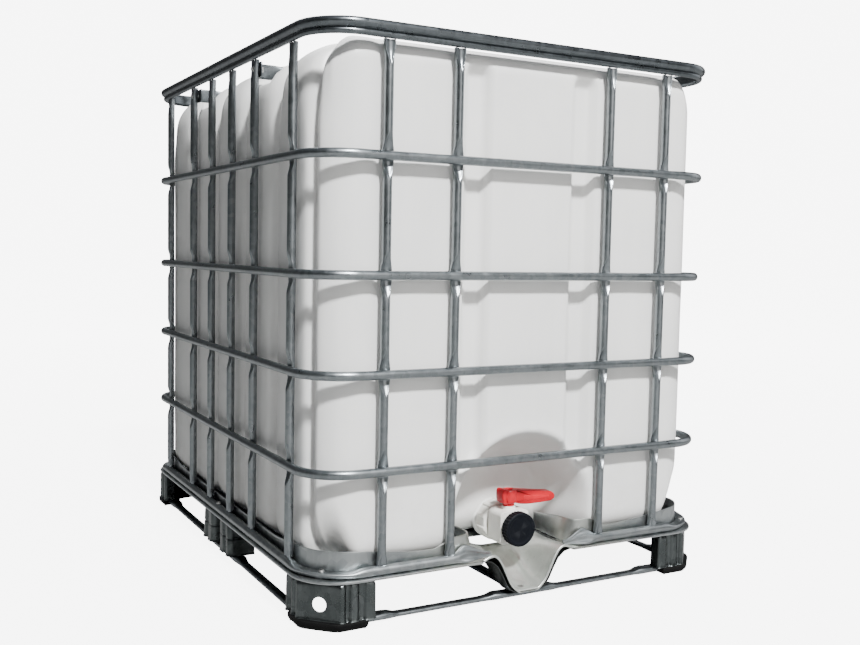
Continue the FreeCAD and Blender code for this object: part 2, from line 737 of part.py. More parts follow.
def build_tray():
    thick = dim.sheet_t
    wall_x = HALF_X - dim.tray_wall_inset
    wall_y = HALF_Y - dim.tray_wall_inset
    corner = dim.outline_corner
    wall_corner = corner - 4
    inside = (wall_x - thick, wall_y - thick, wall_corner - thick)
    above = dim.tray_rim_z + 10
    below = dim.lip_z - 5

    flange = rounded_slab("tray_flange_block", HALF_X, HALF_Y, corner, dim.lip_z,
                          dim.flange_z)
    tub = rounded_slab("tray_tub_block", wall_x, wall_y, wall_corner, dim.lip_z,
                       dim.tray_rim_z)
    hollow = rounded_slab("tray_tub_hollow", *inside, dim.tray_floor_z, dim.tray_rim_z + 5)
    under = rounded_slab("tray_under", HALF_X - thick, HALF_Y - thick, corner - thick,
                         below, dim.flange_z - thick)
    under_floor = rounded_slab("tray_under_floor", *inside, below, dim.tray_floor_z - thick)
    gap = box("tray_valve_gap", -TRAY_GAP_HALF, -HALF_Y - 5, 70,
              TRAY_GAP_HALF, TRAY_GAP_BACK, above)
    tray = cut("tray_a", fuse("tray_blocks", flange, tub),
               fuse("tray_voids", hollow, under, under_floor, gap))

    # the wall is lower between its corners
    spans = [
        (-DROP_HALF_X, -HALF_Y - 5, DROP_HALF_X, -HALF_Y + 60),
        (-DROP_HALF_X, HALF_Y - 60, DROP_HALF_X, HALF_Y + 5),
        (-HALF_X - 5, -DROP_HALF_Y, -HALF_X + 60, DROP_HALF_Y),
        (HALF_X - 60, -DROP_HALF_Y, HALF_X + 5, DROP_HALF_Y),
    ]
    drops = [box("tray_drop_%d" % k, x0, y0, dim.tray_mid_z, x1, y1, above)
             for k, (x0, y0, x1, y1) in enumerate(spans)]
    tray = cut("tray_b", tray, fuse("tray_drops", *drops))

    # and turns in beside the valve opening
    cheek_spans = [(-TRAY_GAP_HALF - thick, -TRAY_GAP_HALF),
                   (TRAY_GAP_HALF, TRAY_GAP_HALF + thick)]
    cheeks = [box("tray_cheek_%d" % k, x0, -wall_y, dim.flange_z - thick,
                  x1, CHEEK_BACK, dim.tray_mid_z)
              for k, (x0, x1) in enumerate(cheek_spans)]
    tray = fuse("tray_c", tray, *cheeks)
    node(cut("pallet_tray", tray, drills("tray_drill", dim.bolt_hole_r, 40, 80, RAIL_BOLTS)))


# ---------------------------------------------------------------- feet
FOOT_BASE = num.foot_base_z
FOOT_TOP = num.foot_top_z
FOOT_SHEET = 2.0
FOOT_X = num.foot_x
FOOT_Y = num.foot_y
BOLT_DRILL = (80, 110, num.bolt_hole_r)     # z0, z1, radius, through a top plate
RIVET_DRILL = (5, 30, num.rivet_hole_r)     # the same, through a base plate

# outer wall of the front left foot: x and y in from the outline's left and front sides
CORNER_WALL = [
    (28, FOOT_Y), (5.5, FOOT_Y), (2.5, FOOT_Y - 3), (2.5, FOOT_Y - 13), (6.5, FOOT_Y - 17),
    (6.5, FOOT_Y - 26), (2.6, FOOT_Y - 30), (3.2, 90), (8.2, 86), (9.2, 79), (6.2, 75),
    (7.4, 70), (10.6, 66), (66, 10.6), (70, 7.4), (75, 6.2), (79, 9.2), (86, 8.2),
    (90, 3.2), (100, 2.6), (104, 6.5), (113, 6.5), (117, 2.5), (FOOT_X - 4, 2.5),
    (FOOT_X, 6.5), (FOOT_X, 30),
]


def offset_open(points, distance):
    """Polyline moved to its left by a distance, mitred."""
    moved = []
    for k, (x, y) in enumerate(points):
        normals = []
        for first in (k - 1, k):
            if 0 <= first < len(points) - 1:
                dx = points[first + 1][0] - points[first][0]
                dy = points[first + 1][1] - points[first][1]
                length = math.hypot(dx, dy)
                normals.append((-dy / length, dx / length))
        mean_x = sum(a for a, b in normals) / len(normals)
        mean_y = sum(b for a, b in normals) / len(normals)
        square = mean_x * mean_x + mean_y * mean_y
        moved.append((x + distance * mean_x / square, y + distance * mean_y / square))
    return moved


def sheet_wall(low, high, thick, z0, z1):
    """Sheet between two open polylines of equal length, thick to their left."""
    return level_loft(low + offset_open(low, thick)[::-1],
                      high + offset_open(high, thick)[::-1], z0, z1)


def corner_foot_shape():
    wall = sheet_wall(CORNER_WALL, CORNER_WALL, FOOT_SHEET, FOOT_BASE, FOOT_TOP)
    plate = CORNER_WALL + [(FOOT_X, FOOT_Y)]
    plates = [prism_up(plate, z, FOOT_SHEET) for z in (FOOT_BASE, FOOT_TOP - FOOT_SHEET)]
    foot = wall.fuse(plates).removeSplitter()
    # inspection hole through the slanted corner face
    outward = Vector(-1, -1, 0).normalize()
    start = Vector(38.3, 38.3, 46.0) - outward * 14
    return foot.cut(Part.makeCylinder(num.foot_hole_r, 24, start, outward))


def build_corner_feet():
    shape = corner_foot_shape()
    half_x, half_y = HALF_X.value, HALF_Y.value
    for sx, sy in CORNERS:
        foot = mirrored(shape, sx, sy)
        foot = drilled(foot, sx * (CORNER_BOLT_X.value - half_x),
                       sy * (CORNER_BOLT_Y.value - half_y), *BOLT_DRILL)
        foot = drilled(foot, sx * (SKID_X - half_x), sy * (CORNER_RIVET_Y - half_y),
                       *RIVET_DRILL)
        name = "foot_%s_%s" % ("front" if sy < 0 else "rear", "left" if sx < 0 else "right")
        node(feature(name, foot, HALF_X * sx, HALF_Y * sy, 0))


def lobed_wall(flare):
    """Outer wall (x, y inwards) of a middle foot: two fluted lobes and a recess between."""
    half = 97
    end = half + flare
    right = [(end, 66), (end - 5, 9), (end - 10, 4), (half - 22, 4), (half - 26, 8),
             (half - 38, 8), (half - 42, 4), (30, 4), (24, 9), (20, 34)]
    return right + [(-x, y) for x, y in right[::-1]]


def mid_foot_shape():
    """Middle foot, wider at the skid, its outer face to -Y."""
    low, high = lobed_wall(8), lobed_wall(0)
    foot = sheet_wall(low, high, -FOOT_SHEET, FOOT_BASE, FOOT_TOP)
    for z, points in ((FOOT_BASE, low), (FOOT_TOP - FOOT_SHEET, high)):
        foot = foot.fuse(prism_up(points, z, FOOT_SHEET))
    return foot.removeSplitter()


def build_mid_feet():
    shape = mid_foot_shape()
    rail_x = BASE_RAIL_X.value
    # name, x, y, turn, x of its rail bolt, rivet place
    feet = [
        ("foot_mid_left", -HALF_X, sized(0), -90, -rail_x, (-SKID_X, MID_RIVET_SHIFT)),
        ("foot_mid_right", HALF_X, sized(0), 90, rail_x, (SKID_X, MID_RIVET_SHIFT)),
        ("foot_mid_rear", sized(0), HALF_Y, 180, None, (MID_RIVET_SHIFT, SKID_Y)),
    ]
    for name, x, y, turn, bolt_x, rivet in feet:
        rot = Rotation(Z_AXIS, turn)
        to_local = Placement(Vector(x.value, y.value, 0), rot).inverse()
        foot = shape.copy()
        if bolt_x is not None:
            spot = to_local.multVec(Vector(bolt_x, 0, 0))
            foot = drilled(foot, spot.x, spot.y, *BOLT_DRILL)
        spot = to_local.multVec(Vector(rivet[0], rivet[1], 0))
        foot = drilled(foot, spot.x, spot.y, *RIVET_DRILL)
        node(feature(name, foot, x, y, 0, rot))


def build_centre_foot():
    """Tapering box section on the centre skid, open to the rear."""
    base, top_x, top_y = 46, 40, 44         # half widths
    top_z = num.tray_floor_z - 1.7

    def open_square(x, y):
        return [(x, y), (x, -y), (-x, -y), (-x, y)]

    foot = sheet_wall(open_square(base, base), open_square(top_x, top_y), -FOOT_SHEET,
                      FOOT_BASE, top_z)
    foot = foot.fuse(Part.makeBox(2 * base, 2 * base, FOOT_SHEET,
                                  Vector(-base, -base, FOOT_BASE)))
    foot = foot.fuse(Part.makeBox(2 * top_x, 2 * top_y, FOOT_SHEET,
                                  Vector(-top_x, -top_y, top_z - FOOT_SHEET)))
    foot = drilled(foot, *CENTRE_RIVET, *RIVET_DRILL)
    node(feature("foot_centre", foot.removeSplitter()))


# valve foot: a V trough whose chute falls from behind the valve to the front edge
TROUGH_FRONT = -(num.pallet_y / 2 - 3.0)
TROUGH_DEPTH = 62
CHUTE_BACK = -441.0
CHUTE_THICK = 2.4
TROUGH_RIM_R = 3.0


def trough(inset, y0, y1, top):
    """Solid V section, wide at the top, inset inside the trough's skin."""
    top_half = 110.0 - inset * 1.35
    low_half = 28.0 - inset * 0.7
    low = FOOT_BASE + inset
    return prism_back([(-top_half, top), (-low_half, low), (low_half, low), (top_half, top)],
                      y0, y1)


def chute_shape():
    """Sloping sheet with a raised back edge, trimmed to the trough."""
    low_z, high_z = FOOT_BASE + 0.2, 84.0
    slope = Part.Face(closed_wire([
        Vector(-130, TROUGH_FRONT, low_z), Vector(130, TROUGH_FRONT, low_z),
        Vector(130, CHUTE_BACK, high_z), Vector(-130, CHUTE_BACK, high_z)]))
    back = Part.makeBox(240, 2.0, 17.0, Vector(-120, CHUTE_BACK - 2.0, 83.5))
    chute = slope.extrude(Vector(0, 0, CHUTE_THICK)).fuse(back)
    return chute.common(trough(0.3, TROUGH_FRONT, CHUTE_BACK, 103.5))


def trough_rim(side):
    """Rolled rim down one front edge of the trough."""
    y = TROUGH_FRONT + TROUGH_RIM_R
    high = Vector(side * 109.0, y, FOOT_TOP - 0.4)
    run = Vector(side * 27.5, y, FOOT_BASE + 3.2) - high
    return Part.makeCylinder(TROUGH_RIM_R, run.Length, high, run)


def build_valve_foot():
    walls = trough(0, TROUGH_FRONT, TROUGH_FRONT + TROUGH_DEPTH, FOOT_TOP - 0.2)
    walls = walls.cut(trough(FOOT_SHEET, TROUGH_FRONT - 5, TROUGH_FRONT + 70,
                             FOOT_TOP + 0.3))
    limits = Part.makeBox(260, 200, FOOT_TOP + 3.2 - FOOT_BASE,
                          Vector(-130, TROUGH_FRONT - 0.01, FOOT_BASE))
    foot = walls.fuse([chute_shape(), trough_rim(-1), trough_rim(1)]).common(limits)
    foot = drilled(foot, 0, -SKID_Y, 5, 28, num.rivet_hole_r)
    node(feature("valve_foot", foot.removeSplitter()))


# ---------------------------------------------------------------- skids
SKID_CORNER = 64            # bend radius on the axis
SKID_WALL_SIDE = 2.0
SKID_WALL_FLAT = 1.8
OVAL_SIDES = 16
OVAL_POWER = 0.62           # below 1 squares the oval off


def signed_power(ratio):
    return abs(ratio) ** OVAL_POWER * (1 if ratio > 0 else -1)


def oval(width, low, high):
    """Flattened tube section as a polygon (out, up), stretched to reach low and high."""
    half_width, half_height, middle = width / 2.0, (high - low) / 2.0, (high + low) / 2.0
    points = []
    for k in range(OVAL_SIDES):
        angle = 2 * math.pi * (k + 0.5) / OVAL_SIDES
        points.append((half_width * signed_power(math.cos(angle)),
                       middle + half_height * signed_power(math.sin(angle))))
    stretch = half_height / (max(z for x, z in points) - middle)
    return [(x, middle + (z - middle) * stretch) for x, z in points]


SKID_SKIN = oval(num.skid_w, num.skid_low_z, num.skid_top_z)
SKID_BORE = oval(num.skid_w - 2 * SKID_WALL_SIDE, num.skid_low_z + SKID_WALL_FLAT,
                 num.skid_top_z - SKID_WALL_FLAT)


def build_skid_ring():
    tube = hollow_ring("skid_tube", draw_rolled_section, SKID_SKIN, SKID_BORE,
                       HALF_X - dim.skid_inset_x, HALF_Y - dim.skid_inset_y, SKID_CORNER, 0)
    node(cut("skid_ring", tube, drills("skid_drill", dim.rivet_hole_r, 12, 11, RING_RIVETS)))


def build_centre_skid():
    """Tube along Y between the front and rear runs of the skid ring."""
    end = SKID_Y - num.skid_w / 2 - 0.3
    tube = prism_back(SKID_SKIN, -end, end).cut(prism_back(SKID_BORE, -end - 1, end + 1))
    node(feature("centre_skid", drilled(tube, *CENTRE_RIVET, 11, 23, num.rivet_hole_r)))


def build_skid_rivets():
    shank = Part.makeCylinder(4.0, 8.0, Vector(0, 0, -4.8))
    head = Part.makeCylinder(7.5, 2.4, Vector(0, 0, 2.1))
    tail = Part.makeCylinder(5.2, 1.2, Vector(0, 0, -3.4))
    rivet = shank.fuse(head).fuse(tail).removeSplitter()
    node(compound("skid_rivets", *[
        feature("skid_rivet_%d" % k, rivet, x, y, dim.foot_base_z)
        for k, (x, y) in enumerate(RING_RIVETS + [CENTRE_RIVET])]))


# ---------------------------------------------------------------- foot pads
PAD_BEVEL = 4.0             # height of the tapered lower part
PAD_UPPER = 13.9            # height of the straight upper part
PAD_CLEARANCE = 0.4

# outline of the front left pad: x and y in from the outline's left and front sides
PAD_OUTLINE = [
    (26, FOOT_Y + 3), (3, FOOT_Y + 3), (0.3, FOOT_Y - 4), (0.3, 74), (5, 63), (63, 5),
    (74, 0.3), (FOOT_X, 0.3), (FOOT_X + 4, 8), (FOOT_X + 4, FOOT_Y + 3),
]


def channel_slab(name, reach, z0, z1):
    """Slab whose sides lie a reach outside the skid ring's axis."""
    return rounded_slab(name, SKID_X + reach, SKID_Y + reach, SKID_CORNER + reach, z0, z1)


def build_foot_pads():
    """Moulded pads under the corner feet, each with a channel for the skid."""
    shrunk = [(x * 0.97 + 3, y * 0.97 + 3) for x, y in PAD_OUTLINE]
    pad = level_loft(shrunk, PAD_OUTLINE, 0, PAD_BEVEL)
    pad = pad.fuse(prism_up(PAD_OUTLINE, PAD_BEVEL, PAD_UPPER)).removeSplitter()
    reach = num.skid_w / 2 + PAD_CLEARANCE
    outer = channel_slab("pad_channel_out", reach, 3.6, 30)
    inner = channel_slab("pad_channel_in", -reach, 0, 40)
    doc.recompute()
    channel = outer.Shape.cut(inner.Shape)
    pads = []
    for k, (sx, sy) in enumerate(CORNERS):
        shape = mirrored(pad, sx, sy)
        shape.translate(Vector(HALF_X.value * sx, HALF_Y.value * sy, 0))
        pads.append(feature("foot_pad_%d" % k, shape.cut(channel)))
    node(compound("foot_pads", *pads))


# ---------------------------------------------------------------- bottle
RECESS_BACK = -440.0        # back face of the valve recess
SPOUT_FACE = -470.0         # front face of the outlet neck
SPOUT_LEN = 35.0
NECK_BEADS = (1099.5, 1106.5, 1113.5)   # plain beads stand in for the thread's turns


def bottle_outline(inset):
    """Plan outline of the bottle, inset inside its skin: flat end panels with channels,
    five convex columns on each side, rounded corners."""
    bx, by = num.bottle_x - inset, num.bottle_y - inset
    narrow = inset * 0.5
    corner = num.bottle_corner
    cx, cy = bx - corner, by - corner

    def on_corner(angle):
        return (cx + corner * math.sin(angle), cy + corner * math.cos(angle))

    # from the middle of the +Y end to the middle of the +X side: a point the arc passes
    # through (None for a straight line), end point
    quarter = [
        (None, (103 - narrow, by)), (None, (116 - narrow, by - 21)),
        (None, (149 + narrow, by - 21)), (None, (163 + narrow, by)),
        (None, (341 - narrow, by)), (None, (350, by - 9)),
        (None, (359 + narrow, by - 0.2)), (None, (cx, by)),
        (on_corner(0.665), on_corner(1.33)),
        (None, (bx - 17, cy + 16)), (None, (bx - 4, cy + 5)),
        ((bx, 400), (bx - 4, 322)), (None, (bx - 17.5, 312)), (None, (bx - 4, 302)),
        ((bx, 208), (bx - 4, 114)), (None, (bx - 17.5, 104)), (None, (bx - 4, 94)),
        ((bx, 50), (bx, 0)),
    ]
    forward = []
    start = (0.0, by)
    for via, end in quarter:
        forward.append((start, via, end))
        start = end
    backward = [(end, via, start) for start, via, end in forward[::-1]]

    edges = []
    for sx, sy, segments in ((1, 1, forward), (1, -1, backward),
                             (-1, -1, forward), (-1, 1, backward)):
        for start, via, end in segments:
            start = Vector(start[0] * sx, start[1] * sy, 0)
            end = Vector(end[0] * sx, end[1] * sy, 0)
            if via is None:
                edges.append(Part.LineSegment(start, end).toShape())
            else:
                via = Vector(via[0] * sx, via[1] * sy, 0)
                edges.append(Part.Arc(start, via, end).toShape())
    return Part.Wire(edges)


def rise(edge):
    heights = [vertex.Z for vertex in edge.Vertexes]
    return max(heights) - min(heights)


def bottle_block(inset):
    """Outline prism trimmed by a rounded block."""
    low, top = num.bottle_low_z + inset, num.bottle_top_z - inset
    outline = bottle_outline(inset)
    outline.translate(Vector(0, 0, low))
    prism = Part.Face(outline).extrude(Vector(0, 0, top - low))
    bx, by = num.bottle_x - inset, num.bottle_y - inset
    blank = Part.makeBox(2 * bx + 0.02, 2 * by + 0.02, top - low,
                         Vector(-bx - 0.01, -by - 0.01, low))
    upright_edges = [edge for edge in blank.Edges if rise(edge) > 1e-6]
    blank = blank.makeFillet(num.bottle_corner - 6 - inset, upright_edges)
    level_edges = [edge for edge in blank.Edges if rise(edge) < 1e-6]
    blank = blank.makeFillet(num.bottle_edge - inset, level_edges)
    return prism.common(blank)


def valve_recess(growth):
    """Arched recess in the lower front for the valve, narrowing inwards."""
    front, back = -num.bottle_y - 10, RECESS_BACK + growth
    wide = num.recess_wide + 4 + growth
    deep = num.recess_deep + growth
    arch = Part.makeCone(wide, deep, back - front, Vector(0, front, num.recess_z), Y_AXIS)
    low = num.bottle_low_z - 8
    plan = [(-wide, front), (wide, front), (deep, back), (-deep, back)]
    return arch.fuse(prism_up(plan, low, num.recess_z - low))


def top_wells(growth):
    """Round well for the filling neck and two cross grooves for the top bars."""
    above = num.bottle_top_z + 10
    floor = num.well_floor_z - growth
    wells = Part.makeCone(num.well_r + growth, num.well_r + 12 + growth, above - floor,
                          Vector(0, 0, floor))
    half = num.bar_groove_half + growth
    groove_floor = num.bar_groove_z - growth
    for side in (-1, 1):
        y = num.bar_groove_y * side
        section = [(y - half, groove_floor), (y + half, groove_floor),
                   (y + half + 10, above), (y - half - 10, above)]
        wire = closed_wire([Vector(-500, y, z) for y, z in section])
        wells = wells.fuse(Part.Face(wire).extrude(Vector(1000, 0, 0)))
    return wells


def bottle_solid(inset):
    return bottle_block(inset).cut(valve_recess(inset)).cut(top_wells(inset))


def build_bottle():
    bottle = bottle_solid(0).cut(bottle_solid(num.bottle_wall))
    spout = Part.makeCylinder(num.spout_r, SPOUT_LEN,
                              Vector(0, SPOUT_FACE, num.outlet_z), Y_AXIS)
    spout_bore = Part.makeCylinder(num.spout_bore_r, 60,
                                   Vector(0, SPOUT_FACE - 5, num.outlet_z), Y_AXIS)
    neck_low = num.well_floor_z - 2.6
    neck = Part.makeCylinder(num.neck_r, num.neck_top_z - neck_low, Vector(0, 0, neck_low))
    neck_bore = Part.makeCylinder(num.neck_bore_r, 80, Vector(0, 0, neck_low - 20))
    bottle = bottle.fuse([spout, neck]).cut(spout_bore).cut(neck_bore)
    for z in NECK_BEADS:
        bottle = bottle.fuse(Part.makeTorus(num.neck_r - 0.3, 1.7, Vector(0, 0, z)))
    node(feature("bottle", bottle.removeSplitter()))


# ---------------------------------------------------------------- lid
LID_GROOVES = 12
LID_GROOVE_R = 3.2
LID_RIB_REACH = 61
LID_RIB_HALF = 3


def build_lid():
    low_z = dim.well_floor_z + 3.5
    height = dim.lid_top_z - low_z
    ceiling = dim.neck_top_z - low_z + 3.1
    skirt_r = dim.neck_r + 2.1
    radius = dim.lid_r
    # profile (radius, height above the lid's lower edge)
    shell = turned("lid_shell", [
        (skirt_r, 0), (radius - 2, 0), (radius, 2), (radius, height - 7),
        (radius - 3, height - 2), (radius - 9, height), (66, height), (62, height - 5.5),
        (0, height - 5.5), (0, ceiling), (skirt_r, ceiling)], 0, 0, low_z)

    # grip grooves round the skirt
    groove_at = num.lid_r + 1.6
    grooves = []
    for k in range(LID_GROOVES):
        angle = math.radians(360 / LID_GROOVES * k)
        foot = Vector(groove_at * math.cos(angle), groove_at * math.sin(angle), low_z.value)
        grooves.append(Part.makeCylinder(LID_GROOVE_R, height.value - 8, foot))
    groove_tool = feature("lid_grip_cuts", Part.makeCompound(grooves))

    # crossed ribs in the dished top
    rib_low, rib_top = dim.lid_top_z - 5.6, dim.lid_top_z - 0.6
    ribs = fuse("lid_ribs",
                box("lid_rib_x", -LID_RIB_REACH, -LID_RIB_HALF, rib_low,
                    LID_RIB_REACH, LID_RIB_HALF, rib_top),
                box("lid_rib_y", -LID_RIB_HALF, -LID_RIB_REACH, rib_low,
                    LID_RIB_HALF, LID_RIB_REACH, rib_top))
    node(fuse("filling_lid", cut("lid_gripped", shell, groove_tool), ribs))


def tube_profile(inner, outer, low, high):
    return [(inner, low), (outer, low), (outer, high), (inner, high)]


def build_lid_gasket():
    node(turned("lid_gasket", tube_profile(dim.neck_bore_r + 0.5, dim.neck_r - 0.3, 0, 2.8),
                0, 0, dim.neck_top_z + 0.1))


# ---------------------------------------------------------------- outlet valve
# "ahead" is the distance in front of the ball centre, "above" the height over it
SEAT_BORE_R = 20            # bore of the body, the seats and the retainer
SEAT_OUTER_R = 27.4
STEM_GROOVE_R = 6.3
ORING_HEIGHTS = (35.2, 38.8)


def ahead(name, points):
    """Turned piece on the outlet axis: profile (radius, ahead)."""
    return turned(name, points, 0, BALL_Y, OUTLET_Z, FORWARD)


def stem_cyl(name, radius, length, above):
    """Upright cylinder on the stem's axis."""
    return cyl(name, radius, length, 0, BALL_Y, OUTLET_Z + above)


def stem_box(name, half_x, half_y, low, high):
    """Box centred on the stem's axis between two heights above the ball."""
    return box(name, -half_x, BALL_Y - half_y, OUTLET_Z + low,
               half_x, BALL_Y + half_y, OUTLET_Z + high)


def spread_round_outlet(block, count, y):
    """Copies of a block made over the Y axis, spaced evenly round the outlet at y."""
    copies = []
    for k in range(count):
        copied = block.copy()
        copied.rotate(Vector(), Y_AXIS, 360 / count * k)
        copied.translate(Vector(0, y, num.outlet_z))
        copies.append(copied)
    return Part.makeCompound(copies)


def build_union_nut():
    core = ahead("union_nut_core", [
        (30.3, -62), (42, -62), (44, -60), (44, -31), (42, -29), (31.2, -29),
        (31.2, -33), (36.4, -33), (36.4, -42), (30.3, -42)])
    grip = Part.makeBox(5, 29, 10, Vector(-2.5, 0, 41))
    grips = spread_round_outlet(grip, 8, num.ball_y + 31.5)
    limits = Part.makeCylinder(47, 60, Vector(0, num.ball_y + 22, num.outlet_z), Y_AXIS)
    node(fuse("union_nut", core, feature("union_nut_grips", grips.common(limits))))


def valve_house():
    """Block round the ball, its four edges along Y rounded."""
    house = box("valve_house", -36, BALL_Y - 26, OUTLET_Z - 36, 36, BALL_Y + 25,
                OUTLET_Z + 36)
    doc.recompute()
    rounded = doc.addObject("Part::Fillet", "valve_house_round")
    rounded.Base = house
    edges = []
    for k, edge in enumerate(house.Shape.Edges, start=1):
        start, end = [vertex.Point for vertex in edge.Vertexes]
        if abs(start.y - end.y) > 1:
            edges.append((k, 11.0, 11.0))
    rounded.Edges = edges
    return rounded


def build_valve_body():
    rear = ahead("valve_rear_flange", [
        (22, -38.8), (36, -38.8), (36, -33.2), (30.6, -33.2), (30.6, -20), (22, -20)])
    house = valve_house()
    boss = stem_cyl("valve_boss", 15, 40, 2)
    front = ahead("valve_front_spout", [
        (20, 20), (29.4, 20), (29.4, 29), (30, 30.5), (29.4, 32), (29.4, 35), (30, 36.5),
        (29.4, 38), (29.4, 41), (29.0, 44), (20, 44)])
    solid = fuse("valve_solid", rear, house, boss, front)
    bore = cyl("valve_bore", SEAT_BORE_R, 120, 0, BALL_Y + 50, OUTLET_Z, FORWARD)
    chamber = ahead("valve_chamber", [(0, -22.4), (27.6, -22.4), (27.6, 36.4), (0, 36.4)])
    stem_bore = stem_cyl("valve_stem_bore", dim.stem_r + 0.06, 60, 2)
    collar_bore = stem_cyl("valve_collar_bore", 11.1, 9.0, 24)
    voids = fuse("valve_voids", bore, chamber, stem_bore, collar_bore)
    node(cut("valve_body", solid, voids))


def build_ball():
    """Ball turned shut: its bore lies along X, its slot for the stem on top."""
    ball = sphere("ball_sphere", dim.ball_r, 0, BALL_Y, OUTLET_Z)
    bore = cyl("ball_bore", dim.ball_bore_r, 80, -40, BALL_Y, OUTLET_Z, RIGHTWARD)
    slot = stem_box("ball_slot", 4.1, 12, 21, 40)
    node(cut("valve_ball", ball, fuse("ball_voids", bore, slot)))


def build_seats():
    """Seat rings behind and in front of the ball, and the ring that holds them."""
    ball_space = sphere("seat_sphere", dim.ball_r + 0.08, 0, BALL_Y, OUTLET_Z)
    rear = ahead("seat_ring_rear", tube_profile(SEAT_BORE_R, SEAT_OUTER_R, -22.3, -15))
    front = ahead("seat_ring_front", tube_profile(SEAT_BORE_R, SEAT_OUTER_R, 15, 22.3))
    node(cut("ball_seats", compound("seat_rings", rear, front), ball_space))
    node(ahead("seat_retainer", tube_profile(SEAT_BORE_R, SEAT_OUTER_R, 22.5, 36)))


def build_stem():
    """Tongue in the ball's slot, collar, two seal grooves, square head in the lever."""
    radius, groove = dim.stem_r, STEM_GROOVE_R
    # profile (radius, above)
    shaft = turned("stem_shaft", [
        (0, 27.3), (radius, 27.3), (radius, 28), (11, 28), (11, 32.8), (radius, 32.8),
        (radius, 34.2), (groove, 34.2), (groove, 36.2), (radius, 36.2),
        (radius, 37.8), (groove, 37.8), (groove, 39.8), (radius, 39.8),
        (radius, 46.5), (0, 46.5)], 0, BALL_Y, OUTLET_Z)
    tongue = stem_box("stem_tongue", 4, 7, 21.2, 28)
    square = stem_box("stem_square", 5, 5, 46, 62)
    screw_hole = stem_cyl("stem_screw_hole", 2.6, 30, 48)
    node(cut("valve_stem", fuse("stem_solid", shaft, tongue, square), screw_hole))


def build_orings():
    rings = []
    for k, above in enumerate(ORING_HEIGHTS):
        ring = doc.addObject("Part::Torus", "stem_oring_%d" % k)
        ring.Radius1 = 7.2
        ring.Radius2 = 0.82
        rings.append(place(ring, 0, BALL_Y, OUTLET_Z + above))
    node(compound("stem_orings", *rings))


def build_lever():
    """Hub over the stem with an arm along +X, hollow underneath beyond the hub."""
    reach = dim.lever_len
    # side outlines (x, above)
    arm_side = [
        (-19, 44), (22, 42), (60, 43.5), (reach - 4, 44), (reach, 46.5), (reach, 55),
        (reach - 5, 58), (50, 62), (12, 69), (-14, 71), (-19, 68)]
    hollow_side = [(24, 40), (reach - 4, 40), (reach - 4, 53), (50, 58.5), (24, 61)]
    arm = side_plate("lever_arm", [(x, OUTLET_Z + up) for x, up in arm_side], 25, BALL_Y)
    hollow = side_plate("lever_hollow", [(x, OUTLET_Z + up) for x, up in hollow_side],
                        19, BALL_Y)
    hub = stem_cyl("lever_hub", 16.5, 26, 42.4)
    solid = fuse("lever_solid", cut("lever_arm_shell", arm, hollow), hub)
    socket = stem_box("lever_socket", 5.15, 5.15, 40, 62.2)
    collar = stem_cyl("lever_collar", 8.3, 5, 42.2)
    screw_way = stem_cyl("lever_screw_way", 3.2, 40, 60)
    screw_seat = stem_cyl("lever_screw_seat", 6.2, 20, 66.5)
    node(cut("valve_lever", solid,
             fuse("lever_voids", socket, collar, screw_way, screw_seat)))


def build_lever_screw():
    node(turned("lever_screw", [
        (0, 50), (2.5, 50), (2.5, 66.6), (5.8, 66.6), (5.8, 69.4), (4.5, 70.6),
        (1.6, 70.6), (1.6, 68.8), (0, 68.8)], 0, BALL_Y, OUTLET_Z))


def build_cap():
    """Closed front and ribbed skirt, clear round the thread."""
    face, radius = dim.cap_face, dim.cap_r
    core = ahead("cap_core", [
        (0, face - 3.2), (30.6, face - 3.2), (30.6, face - 21), (radius - 1.5, face - 21),
        (radius - 1.5, face - 2), (radius - 4, face), (radius - 8, face),
        (radius - 9.5, face - 1), (0, face - 1)])
    rib = Part.makeBox(3.6, 18.5, 4.5, Vector(-1.8, 0, num.cap_r - 4.5))
    rib = rib.common(Part.makeCylinder(num.cap_r, 30, Vector(0, -2, 0), Y_AXIS))
    ribs = spread_round_outlet(rib, 24, num.ball_y - num.cap_face + 2.3)
    node(fuse("outlet_cap", core, feature("cap_ribs", ribs)))


def build_valve_gaskets():
    node(ahead("outlet_gasket",
               tube_profile(dim.spout_bore_r, dim.spout_r, -41.8, -39)))
    node(ahead("cap_gasket",
               tube_profile(21, 29, dim.cap_face - 6.8, dim.cap_face - 3.4)))


# ---------------------------------------------------------------- build, check and write
for build in (
        build_rings, build_top_rail, build_uprights, build_crossbars, build_crossbar_bolts,
        build_rail_bolts, build_bottom_rail, build_tray, build_corner_feet, build_mid_feet,
        build_centre_foot, build_valve_foot, build_skid_ring, build_centre_skid,
        build_skid_rivets, build_foot_pads, build_bottle, build_lid, build_lid_gasket,
        build_union_nut, build_valve_body, build_ball, build_seats, build_stem,
        build_orings, build_lever, build_lever_screw, build_cap, build_valve_gaskets):
    build()

doc.recompute()
bad = [obj.Name for obj in doc.Objects if "Invalid" in obj.State or "Error" in obj.State]
if bad:
    raise SystemExit("objects in error: " + ", ".join(bad))
for obj in NODES:
    shape = obj.Shape
    if shape.isNull() or not shape.isValid() or not shape.Solids:
        raise SystemExit("bad shape: " + obj.Label)

os.makedirs("parts", exist_ok=True)
for obj in NODES:
    obj.Shape.exportStep("parts/%s.step" % obj.Label)
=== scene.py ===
"""Intermediate bulk container: a white bottle in a tube cage on a sheet-steel pallet.

The origin is on the floor under the middle. +Z is up, the outlet valve faces -Y (front) and
+X is right. Shapes are given in mm; lights, textures and the floor are in metres.
"""
import math

import bmesh
import bpy
import numpy as np
from mathutils import Matrix, Vector


